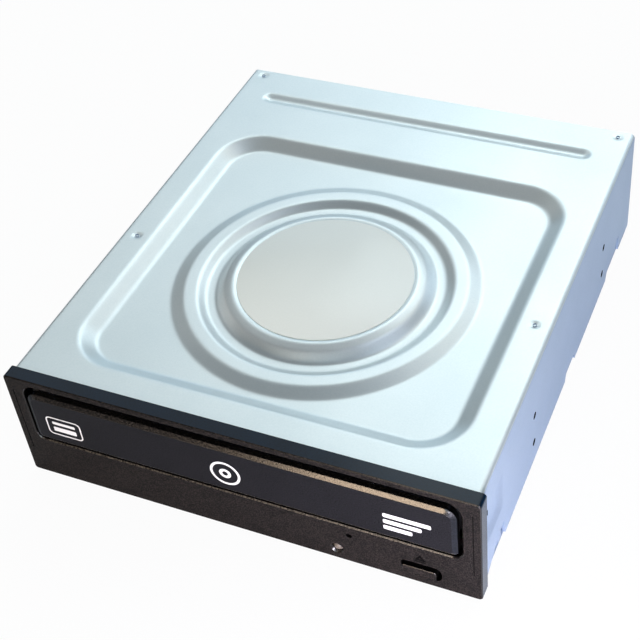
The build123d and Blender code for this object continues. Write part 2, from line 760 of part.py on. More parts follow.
def make_cam_slider():
    wall = Pos((cam_left + cam_right) / 2, (cam_low + cam_high) / 2) * RectangleRounded(
        cam_right - cam_left, cam_high - cam_low, 2.0)
    slider = upright(wall, cam_wall_front, cam_wall_back)
    slider = slider - cam_slot(-pin_x) - cam_slot(pin_x)
    slider = slider - block(cam_left - 1, cam_notch_right, cam_wall_front - 1, cam_wall_back + 1,
                            cam_notch_low, cam_high + 1)
    line = at(cam_rack_line)
    teeth = rack_points(cam_left + 1.6, 7, line, -1)
    points = [(x, y) for y, x in teeth]
    left = points[0][0]
    right = points[-1][0]
    outline = [(left, at(cam_wall_front + 0.2))] + points + [(right, at(cam_wall_front + 0.2))]
    slider = slider + slab(make_face(Polyline(outline, close=True)), rack_arm_low, rack_arm_high)
    # sloped tab that a pin through the front hole pushes when the traverse is up
    tab_x = pinhole_x + cam_travel
    foot_y = at(cam_wall_front + 0.2)
    tab_half = 4.5
    points = [(tab_x - tab_half, foot_y), (tab_x + tab_half, foot_y), (tab_x + tab_half, foot_y - 7.2)]
    tab = make_face(Polyline(points, close=True))
    return slider + slab(tab, pinhole_z - 3, pinhole_z + 3)


parts["cam_slider"] = make_cam_slider()

# Moulded loader frame
front_board_left = lamp_x - 3.1
front_board_right = switch_x + 9.75
front_board_front = 10.4
front_board_rear = 23.2
board_window = (front_board_left - 1.0, front_board_right + 1.0, frame_front + 1.9, front_board_rear + 1.0)


bridge_front = spindle_depth - 16.0
bridge_rear = spindle_depth + 16.0
bridge_screw_spots = [(x, depth) for x in (1.25 - frame_out, frame_out - 1.25)
                      for depth in (bridge_front + 4, bridge_rear - 4)]


def make_loader_frame():
    frame = block(frame_in, frame_out, frame_front, frame_rear, frame_low, bridge_low)
    for low in (rail_low - rail_gap - 2, rail_high + rail_gap):
        # two ledges that the tray's rail runs between
        frame = frame + block(frame_in - 1.4, frame_in + 0.2, 8, tray_rear, low, low + 2)
    for depth in (hole_first, hole_first + hole_pitch):
        frame = frame - block(frame_in - 1, frame_out + 1, depth - 3.5, depth + 3.5, 0, 4.2)
    for depth in (30.0, 75.0, 100.0, pivot_depth):
        frame = frame + block(frame_out - 0.1, frame_out + 1.3, depth, depth + 1.6, 8, 31)
    frame = mirrored(frame)
    deck = rounded(-frame_in - 0.1, frame_in + 0.1, frame_front, frame_rear, 1.0)
    deck = deck - rounded(-frame_open_half, frame_open_half, frame_open_front, frame_rear + 10, 2.0)
    x0, x1, d0, d1 = board_window
    deck = deck - rounded(x0, x1, d0, d1, 1.0)
    frame = frame + slab(deck, deck_low, deck_top)
    frame = frame + block(-frame_in, frame_in, frame_front, frame_front + 2, frame_low, opening_low - 0.3)
    # rear wall, high enough to clear the board and its connector
    frame = frame + block(-frame_out, frame_out, tray_rear + 1.0, frame_rear, 13.0, bridge_low)
    window_half = frame_open_half - 8.0
    frame = frame - block(-window_half, window_half, tray_rear, frame_rear + 1, 20.0, bridge_low + 1)
    # posts for the three gears
    gear_posts = ((drive_x, drive_depth, 25.1), (idler_x, idler_depth, 13.9), (pulley_x, pulley_depth, 17.6))
    for x, depth, top in gear_posts:
        frame = frame + post(x, depth, post_r, deck_top - 0.5, top)
        frame = frame + post(x, depth, 2.6, deck_top - 0.5, gear_low - 0.1)
    # motor well with its top plate
    well = post(motor_x, motor_depth, motor_r + 1.6, frame_low, motor_high + 1.25)
    frame = frame + well
    frame = frame - post(motor_x, motor_depth, motor_r + 0.15, 0, motor_high + 0.02)
    frame = frame - post(motor_x, motor_depth, 3.2, 0, 30)
    frame = frame - block(motor_x - 4, motor_x + 4, motor_front - 2.5, motor_front + 3, 0, 6)
    for x in motor_screw_x:
        frame = frame - post(x, motor_depth, 0.95, motor_high - 1, 30)
    for front in (cam_wall_front - 1.0, cam_wall_back + 0.25):
        # guides for the cam slider
        frame = frame + block(cam_left - cam_travel, cam_right + 2, front, front + 0.75,
                              deck_top - 0.2, deck_top + 1.5)
    # bearings for the traverse pivots
    bearing = block(lifter_half + 2.2, frame_open_half + 2.6, pivot_depth - 4, pivot_depth + 4,
                    deck_low, pivot_z + 4)
    frame = frame + mirrored(bearing)
    bore_half = frame_open_half + 3.5
    frame = frame - bar_x(pivot_depth, pivot_z, pivot_pin_r + running_gap, -bore_half, bore_half)
    # holes in the front wall
    frame = frame - block(switch_x - 4, switch_x + 4, frame_front - 1, frame_front + 3,
                          stem_low - 1.8, stem_high + 2)
    frame = frame - bar_y(lamp_x, lamp_z, lamp_r + 0.3, frame_front - 1, frame_front + 3)
    frame = frame - bar_y(pinhole_x, pinhole_z, 1.5, frame_front - 1, frame_front + 3)
    # bosses for the case screws
    for depth in case_screw_depths:
        for x in (-case_screw_x, case_screw_x):
            frame = frame + post(x, depth, 3.6, floor_in + sheet + 0.05, deck_top + 2.5)
            frame = frame - post(x, depth, 1.3, 0, deck_top + 1.9)
    # holes for the bridge screws
    for x, depth in bridge_screw_spots:
        frame = frame - post(x, depth, 0.75, bridge_low - 4, bridge_low + 1)
    return frame


parts["loader_frame"] = make_loader_frame()

# Clamp bridge and clamper
clamper_hole_r = 12.6
clamper_low = 30.9


def make_bridge():
    outline = rounded(-frame_out, frame_out, bridge_front, bridge_rear, 2.0)
    outline = outline + Pos(0, at(spindle_depth)) * Circle(21)
    bridge = slab(outline, bridge_low, bridge_low + bridge_sheet)
    edge_half = frame_out - 11.4
    for depth in (bridge_front, bridge_rear - bridge_sheet):
        # turned-up stiffening edges
        bridge = bridge + block(-edge_half, edge_half, depth, depth + bridge_sheet,
                                bridge_low, bridge_low + 3.2)
    bridge = bridge - post(0, spindle_depth, clamper_hole_r, 0, 50)
    for x, depth in bridge_screw_spots:
        bridge = bridge - post(x, depth, 0.9, 0, 50)
    for x in (-38, 38):
        bridge = bridge - slab(rounded(x - 11, x + 11, spindle_depth - 9, spindle_depth + 9, 3.0), 0, 50)
    return bridge


parts["clamp_bridge"] = make_bridge()

bridge_top = bridge_low + bridge_sheet
parts["clamper"] = turned(
    [(8.4, clamper_low), (15.0, clamper_low), (15.0, clamper_low + 1.0), (13.5, clamper_low + 1.6),
     (11.8, clamper_low + 1.6), (11.8, bridge_top + 0.2), (8.9, bridge_top + 0.2), (8.9, bridge_top - 0.8),
     (0, bridge_top - 0.8), (0, clamper_low + 2.2), (7.2, clamper_low + 2.2)], 0, spindle_depth)
parts["clamper_magnet"] = turned(
    [(3.0, bridge_top - 0.75), (8.7, bridge_top - 0.75), (8.7, bridge_top + 0.75), (3.0, bridge_top + 0.75)],
    0, spindle_depth)
parts["clamper_yoke"] = turned(
    [(0, bridge_top + 0.8), (9.0, bridge_top + 0.8), (9.0, bridge_top + 0.25), (14.6, bridge_top + 0.25),
     (14.6, bridge_top + 1.1), (10.0, bridge_top + 1.1), (9.4, bridge_top + 1.7), (0, bridge_top + 1.7)],
    0, spindle_depth)

# Traverse: frame, plate, spindle motor and pickup, drawn level and lowered at the end
works = {}
damper_x = lifter_half - 4.0
damper_front = lifter_front + 7.0
damper_rear = pivot_depth - 7.0
damper_spots = {"front_left": (-damper_x, damper_front), "front_right": (damper_x, damper_front),
                "rear_left": (-damper_x, damper_rear), "rear_right": (damper_x, damper_rear)}
damper_groove_r = 3.0
damper_post_r = 1.75
plate_high = plate_low + plate_sheet
damper_top = 19.8


def make_lifter_frame():
    ring = rounded(-lifter_half, lifter_half, lifter_front, lifter_rear, 4.0)
    ring = ring - rounded(-lifter_half + 7.5, lifter_half - 7.5, lifter_front + 10, lifter_rear - 6, 5.0)
    frame = slab(ring, lifter_low, lifter_high)
    pan_half = lifter_half - 1.5
    pan = rounded(-pan_half, pan_half, lifter_front + 1.5, lifter_front + 7.5, 2.0)
    frame = frame - slab(pan, lifter_low - 1, lifter_low + 3)
    for x in (-pin_x, pin_x):
        # towers and the pins that ride in the cam slider
        frame = frame + block(x - 3, x + 3, lifter_front, lifter_front + 2.5, lifter_high - 0.5, pin_z + 2.4)
        frame = frame + bar_y(x, pin_z, pin_r, cam_wall_front + 0.3, lifter_front + 0.5)
    for side in (-1, 1):
        x0, x1 = sorted((side * (lifter_half - 1), side * (frame_open_half + 2.0)))
        frame = frame + bar_x(pivot_depth, pivot_z, pivot_pin_r, x0, x1)
        x0, x1 = sorted((side * (lifter_half - 0.2), side * (lifter_half + 1.6)))
        frame = frame + bar_x(pivot_depth, pivot_z, 3.4, x0, x1)
    frame = frame - block(-lifter_half - 5, lifter_half + 5, pivot_depth - 8, pivot_depth + 8, 0, lifter_low)
    for x, depth in damper_spots.values():
        frame = frame + post(x, depth, damper_post_r, lifter_high - 0.5, damper_top)
    for x, depth in damper_spots.values():
        frame = frame - post(x, depth, 0.95, lifter_low + 1, damper_top + 1)
    return frame


def make_damper(x, depth):
    return turned([(damper_post_r + 0.1, lifter_high), (4.5, lifter_high), (4.5, plate_low - 0.05),
                   (damper_groove_r, plate_low - 0.05), (damper_groove_r, plate_high + 0.05),
                   (4.2, plate_high + 0.05), (4.2, damper_top), (damper_post_r + 0.1, damper_top)], x, depth)


motor_seat = plate_high
rod_ear_front = 84.4
rod_ear_rear = pivot_depth - 4.6
screw_ear_rear = rod_ear_rear - 2.0
rotor_r = 14.5
rotor_low = 20.9
turntable_r = 16.5
turntable_low = 27.2


def make_plate():
    outline = rounded(-lifter_half, lifter_half, lifter_front + 2.5, pivot_depth, 3.0)
    outline = outline - rounded(-rod_x - 6, rod_x + 6, rod_ear_front + 1.6, rod_ear_rear - 0.4, 3.0)
    outline = outline - rounded(screw_x - 5, screw_x + 5, 58.5, 75.5, 1.0)
    for x, depth in damper_spots.values():
        outline = outline - Pos(x, at(depth)) * Circle(damper_groove_r + 0.1)
    for depth in (95.0, 117.0):
        outline = outline - rounded(-42, -36, depth, depth + 12, 2.0)
    plate = slab(outline, plate_low, plate_high)
    for x in (-rod_x, rod_x):
        for depth in (rod_ear_front, rod_ear_rear):
            # upright ears that hold the guide rods
            ear = block(x - 3.2, x + 3.2, depth, depth + 1.2, plate_high - 0.5, rod_z + 2.6)
            plate = plate + ear - bar_y(x, rod_z, rod_r + 0.03, depth - 1, depth + 2.2)
    ear_rear = screw_ear_rear + plate_sheet
    ear = block(screw_x - 2.4, screw_x + 2.4, screw_ear_rear, ear_rear, plate_high - 0.5, rod_z + 2.4)
    plate = plate + ear - bar_y(screw_x, rod_z, 0.8 + running_gap, screw_ear_rear - 1, ear_rear + 0.8)
    ear = block(screw_x - 5, screw_x + 5, 75.6, 76.8, plate_high - 0.5, rod_z + 3.2)
    plate = plate + ear - bar_y(screw_x, rod_z, 1.8, 75, 78)
    return plate


works["lifter_frame"] = make_lifter_frame()
works["traverse_plate"] = make_plate()
for name, spot in damper_spots.items():
    works["damper_" + name] = make_damper(*spot)
screw_under = damper_top + 0.1
screw_top = screw_under + 1.4
screw_profile = [(0, 14.0), (0.8, 14.0), (0.8, screw_under), (3.4, screw_under), (3.4, screw_top - 0.4),
                 (2.6, screw_top), (0, screw_top)]
parts["damper_screws"] = Compound(children=[
    lowered(turned(screw_profile, x, depth)) for x, depth in damper_spots.values()])

tube_low = motor_seat + 0.6
tube_top = 26.0
base = rounded(-19, 19, spindle_depth - 17, rod_ear_front - 0.2, 4.0)
base = slab(base, motor_seat + 0.02, motor_seat + 1.0)
base = base + turned([(1.62, tube_low), (3.4, tube_low), (3.4, tube_top), (1.62, tube_top)], 0, spindle_depth)
works["motor_base"] = base - post(0, spindle_depth, 1.55, motor_seat + 0.3, 30)


def make_stator():
    # Nine wound poles round the bearing tube
    stator = turned([(3.45, 21.8), (6.2, 21.8), (6.2, 24.6), (3.45, 24.6)], 0, spindle_depth)
    for i in range(9):
        arm = Pos(9.0, 0, 23.2) * Box(6.4, 2.6, 2.6) + Pos(12.2, 0, 23.2) * Box(1.2, 5.6, 2.6)
        stator = stator + Pos(0, at(spindle_depth), 0) * Rot(0, 0, i * 40) * arm
    return stator


works["motor_stator"] = make_stator()
rotor_in = rotor_r - 0.8
works["rotor_yoke"] = turned(
    [(1.6, 26.3), (rotor_in, 26.3), (rotor_in, rotor_low), (rotor_r, rotor_low), (rotor_r, 27.1), (1.6, 27.1)],
    0, spindle_depth)
works["spindle_shaft"] = post(0, spindle_depth, 1.5, motor_seat + 0.5, 31.4)
works["turntable"] = turned(
    [(1.55, turntable_low), (turntable_r, turntable_low), (turntable_r, disc_plane - 0.4),
     (turntable_r - 4.0, disc_plane - 0.4), (turntable_r - 4.0, disc_plane - 0.8), (8.0, disc_plane - 0.8),
     (8.0, disc_plane - 1.6), (1.55, disc_plane - 1.6)],
    0, spindle_depth)
pad_in = turntable_r - 3.8
pad_out = turntable_r - 0.3
pad_low = disc_plane - 0.38
works["turntable_pad"] = turned(
    [(pad_in, pad_low), (pad_out, pad_low), (pad_out, disc_plane), (pad_in, disc_plane)], 0, spindle_depth)


def make_hub():
    # Cone that centres the disc, slit where its three claws spring
    foot = disc_plane - 1.55
    top = disc_plane + 1.6
    bevel = disc_plane + 1.2
    hub = turned([(1.55, foot), (7.4, foot), (7.4, disc_plane), (6.2, bevel), (4.6, top), (1.55, top)],
                 0, spindle_depth)
    for i in range(3):
        slit = Rot(0, 0, i * 120) * Pos(7.0, 0, 0) * Box(2.4, 0.5, 3.0)
        hub = hub - Pos(0, at(spindle_depth), disc_plane + 0.3) * slit
    return hub


works["centring_hub"] = make_hub()

rod_front = rod_ear_front + 0.1
rod_rear = rod_ear_rear + 1.1
works["guide_rod_left"] = bar_y(-rod_x, rod_z, rod_r, rod_front, rod_rear)
works["guide_rod_right"] = bar_y(rod_x, rod_z, rod_r, rod_front, rod_rear)

carriage_front = pickup_home - 8.0
carriage_rear = pickup_home + 13.5
carriage_low = 18.6
carriage_high = 23.6


def make_pickup():
    left = -rod_x - 2.6
    right = rod_x + 3.2
    outline = rounded(left, right, carriage_front + 0.6, carriage_rear, 2.0)
    outline = outline - Pos(0, at(spindle_depth)) * Circle(rotor_r + 2.2)
    outline = outline - rounded(-rod_x + 4.5, -rod_x + 9, carriage_rear - 6, carriage_rear + 5, 1.5)
    body = slab(outline, carriage_low, carriage_high)
    body = body - slab(rounded(-9, 9, pickup_home - 5.5, pickup_home + 7.5, 1.0), 20.2, 30)
    # bearing on the right rod, open fork on the left rod
    body = body - bar_y(rod_x, rod_z, rod_r + running_gap, 60, 160)
    body = body - block(left - 1, -rod_x + rod_r + 0.4, 60, 160, rod_z - rod_r - 0.15, rod_z + rod_r + 0.15)
    # laser housing at the rear left
    body = body + block(-18, -10, carriage_rear - 0.3, carriage_rear + 3.0, 18.8, 22.8)
    return body


works["pickup_body"] = make_pickup()
lid = rounded(-13, 13, pickup_home - 7.0, pickup_home + 10, 1.5)
lid = lid - rounded(-8.6, 8.6, pickup_home - 5.2, pickup_home + 7.0, 1.0)
works["pickup_cover"] = slab(lid, carriage_high + 0.02, carriage_high + 0.6)
holder = slab(rounded(-6.0, 6.0, pickup_home - 4.6, pickup_home + 4.6, 1.5), 22.0, 26.6)
holder = holder + turned([(2.7, 26.4), (4.4, 26.4), (3.9, 27.8), (2.7, 27.8)], 0, pickup_home)
works["lens_holder"] = holder - post(0, pickup_home, 2.2, 20, 30)
works["objective_lens"] = turned([(0, 26.9), (1.6, 27.0), (2.15, 27.2), (2.15, 27.5), (1.4, 27.9), (0, 28.1)],
                                 0, pickup_home)
nut = block(rod_x + 3.25, screw_x - 1.9, pickup_home - 1, pickup_home + 9, 21.4, 22.6)
nut = nut + block(screw_x - 3.2, screw_x - 1.7, pickup_home - 1, pickup_home + 9, 19.2, 22.6)
works["feed_nut"] = nut

screw = bar_y(screw_x, rod_z, 1.4, 78.5, screw_ear_rear - 0.4)
screw = screw + bar_y(screw_x, rod_z, 0.8, 74.6, screw_ear_rear + 0.8)
works["lead_screw"] = screw + bar_y(screw_x, rod_z, 1.9, 77.4, 79.0)
sled_motor = bar_y(screw_x, rod_z, 4.3, 60.0, 75.5)
sled_motor = sled_motor - bar_y(screw_x, rod_z, 0.8 + running_gap, 74.0, 76.0)
works["sled_motor"] = sled_motor + block(screw_x - 2, screw_x + 2, 62, 66, plate_low - 1.4, rod_z - 3)

for name, solid in works.items():
    parts[name] = lowered(solid)

# Boards and electrics
notch_front = pivot_depth - 7.0
notch_rear = pivot_depth + 6.0
board_outline = rounded(-board_half, board_half, board_front, board_rear, 1.0)
board_outline = board_outline - rounded(-board_half - 0.5, -board_half + 11, notch_front, notch_rear, 1.0)
board_outline = board_outline - rounded(board_half - 11, board_half + 0.5, notch_front, notch_rear, 1.0)
board = slab(board_outline, board_low, board_low + board_thick)
for x, depth in board_screw_spots:
    board = board - post(x, depth, 1.3, 0, 10)
parts["main_board"] = board
board_top = board_low + board_thick
chip_front = board_front + 21.0
driver_front = board_front + 13.0
chip_foot = board_top + 0.1
main_outline = rounded(-14, 6, chip_front, chip_front + 20, 0.5)
parts["main_chip"] = slab(main_outline, chip_foot, chip_foot + 1.4)
driver_outline = rounded(-36, -24, driver_front, driver_front + 9, 0.4)
parts["driver_chip"] = slab(driver_outline, chip_foot, chip_foot + 1.3)
parts["capacitors"] = Compound(children=[
    post(-34.0 + 5.5 * i, board_rear - 2.5, 1.9, board_top + 0.05, board_top + 4.4) for i in range(4)])


def screw_with_head(x, depth, seat, head_r, head_thick, shank_r, tip):
    # Low round head on its seat, shank down to its tip
    head = turned([(0, seat), (head_r, seat), (head_r - 0.2, seat + head_thick), (0, seat + head_thick)], x, depth)
    return head + post(x, depth, shank_r, tip, seat + 0.1)


parts["board_screws"] = Compound(children=[
    screw_with_head(x, depth, board_top + 0.05, 2.3, 1.15, 1.0, floor_in - 0.3)
    for x, depth in board_screw_spots])


def make_sata():
    # Device plug: base block, end guides and two keyed tongues that point to the rear
    low = board_top + 0.05
    rear = body_rear - 0.4
    front = body_rear - 12.5
    joint = body_rear - 7.0
    shell = block(sata_x - sata_half, sata_x + sata_half, front, joint + 0.3, low, low + 6.2)
    for side in (-1, 1):
        x0, x1 = sorted((sata_x + side * (sata_half - 2.0), sata_x + side * sata_half))
        shell = shell + block(x0, x1, joint, rear, low, low + 6.2)
    middle = low + 3.2
    shell = shell + block(sata_x - 18.0, sata_x + 3.6, joint, rear - 0.8, middle, middle + 1.2)
    shell = shell + block(sata_x - 18.0, sata_x - 16.8, joint, rear - 0.8, middle - 1.4, middle + 0.1)
    shell = shell + block(sata_x + 6.6, sata_x + 17.4, joint, rear - 0.8, middle, middle + 1.2)
    shell = shell + block(sata_x + 6.6, sata_x + 7.8, joint, rear - 0.8, middle - 1.4, middle + 0.1)
    return shell


parts["sata_connector"] = make_sata()

front_board_low = 2.0
front_board_top = 3.2
front_outline = rounded(front_board_left, front_board_right, front_board_front, front_board_rear, 0.8)
parts["front_board"] = slab(front_outline, front_board_low, front_board_top)
switch_front = 12.4
switch = block(switch_x - 3, switch_x + 3, switch_front, switch_front + 3.4, front_board_top + 0.02, 7.4)
parts["tact_switch"] = switch - bar_y(switch_x, 5.6, 1.1 + running_gap, switch_front - 1, switch_front + 1.5)
parts["switch_plunger"] = bar_y(switch_x, 5.6, 1.1, switch_front - 1.13, switch_front + 0.9)
led = block(lamp_x - 1.6, lamp_x + 1.6, pipe_end + 0.3, pipe_end + 2.6, front_board_top + 0.02, 6.2)
parts["indicator_led"] = led
ribbon_x = front_board_left + 9.0
ribbon = rounded(ribbon_x - 6, ribbon_x + 6, front_board_rear - 3.2, board_front + 3, 0.5)
parts["front_ribbon"] = slab(ribbon, floor_in + 0.1, floor_in + 0.4)

# Flat cable that folds back under the traverse and ends against the pickup's underside
flex_left = 9.5
flex_right = 20.5
flex_thick = 0.25
flex_front = 103.5
flex_socket = 110.5
flex_bend = 131.0
flex_low = 6.6
flex_bend_r = 4.1


def make_pickup_ribbon():
    top = flex_low + flex_bend_r * 2
    lower = block(flex_left, flex_right, flex_socket, flex_bend, flex_low, flex_low + flex_thick)
    upper = block(flex_left, flex_right, flex_front, flex_bend, top - flex_thick, top)
    turn = bar_x(flex_bend, flex_low + flex_bend_r, flex_bend_r, flex_left, flex_right)
    inner_r = flex_bend_r - flex_thick
    turn = turn - bar_x(flex_bend, flex_low + flex_bend_r, inner_r, flex_left - 1, flex_right + 1)
    turn = turn & block(flex_left - 1, flex_right + 1, flex_bend, flex_bend + 10, flex_low - 1, top + 1)
    down = block(flex_left, flex_right, flex_socket, flex_socket + flex_thick,
                 board_top + 1.0, flex_low + flex_thick)
    return lower + upper + turn + down


parts["pickup_ribbon"] = make_pickup_ribbon()
socket = block(flex_left - 1.5, flex_right + 1.5, flex_socket - 1.2, flex_socket + 2.0,
               board_top + 0.05, board_top + 1.9)
slit = block(flex_left - 0.2, flex_right + 0.2, flex_socket - 0.1, flex_socket + flex_thick + 0.1,
             board_top + 0.9, board_top + 3)
parts["ribbon_socket"] = socket - slit

# Fasteners
head_low = body_bottom + 0.1
parts["case_screws"] = Compound(children=[
    post(x, depth, screw_head_r, head_low, head_low + screw_head_thick)
    + post(x, depth, 1.2, head_low + 0.1, deck_top + 1.5)
    for x in (-case_screw_x, case_screw_x) for depth in case_screw_depths])
parts["bridge_screws"] = Compound(children=[
    screw_with_head(x, depth, bridge_top + 0.02, 1.9, 0.88, 0.7, bridge_low - 3.5)
    for x, depth in bridge_screw_spots])
parts["motor_screws"] = Compound(children=[
    screw_with_head(x, motor_depth, motor_high + 1.27, 1.5, 0.48, 0.8, motor_high + 0.1)
    for x in motor_screw_x])

os.makedirs("parts", exist_ok=True)
for name, solid in parts.items():
    export_step(solid, os.path.join("parts", name + ".step"))
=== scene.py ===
import bpy
import bmesh
import json
import math
import numpy as np
from mathutils import Matrix, Vector


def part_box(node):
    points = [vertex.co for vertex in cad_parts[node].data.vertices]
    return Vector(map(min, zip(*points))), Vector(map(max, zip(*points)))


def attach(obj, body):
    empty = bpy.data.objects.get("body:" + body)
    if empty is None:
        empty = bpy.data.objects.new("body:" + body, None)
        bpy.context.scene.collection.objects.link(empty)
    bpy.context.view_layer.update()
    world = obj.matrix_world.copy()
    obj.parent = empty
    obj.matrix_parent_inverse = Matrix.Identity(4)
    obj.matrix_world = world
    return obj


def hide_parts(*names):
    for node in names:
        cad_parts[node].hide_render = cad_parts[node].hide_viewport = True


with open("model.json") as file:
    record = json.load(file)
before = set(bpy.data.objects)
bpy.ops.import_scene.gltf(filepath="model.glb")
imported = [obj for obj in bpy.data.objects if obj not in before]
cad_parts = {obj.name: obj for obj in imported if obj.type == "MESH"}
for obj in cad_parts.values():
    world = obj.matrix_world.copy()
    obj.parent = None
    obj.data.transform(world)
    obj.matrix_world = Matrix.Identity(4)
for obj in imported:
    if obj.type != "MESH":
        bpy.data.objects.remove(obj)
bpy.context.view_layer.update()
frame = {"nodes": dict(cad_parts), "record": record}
nodes = frame["nodes"]
mm = 0.001
frontY = -84.3  # y of the bezel's front face in the shared frame, in mm
topZ = 41.65  # top of the steel cover, in mm
lowerAngle = math.radians(4.8)  # the traverse rests tipped forward
pivot = (63.7, 13.7)  # y and z of the traverse's rear pivot in the shared frame, in mm


def bodyOf(node):
    for body, members in frame["record"]["behaviour"]["bodies"].items():
        if node in members:
            return body


def slotOf(node):
    for part in frame["record"]["subparts"]:
        if part["node"] == node:
            return part["material_slot"]


def tipped(x, depth, z):
    # A point of the level traverse, lowered as the CAD has it, in metres
    dy = frontY + depth - pivot[0]
    dz = z - pivot[1]
    y = pivot[0] + dy * math.cos(lowerAngle) - dz * math.sin(lowerAngle)
    z = pivot[1] + dy * math.sin(lowerAngle) + dz * math.cos(lowerAngle)
    return Vector((x * mm, y * mm, z * mm))


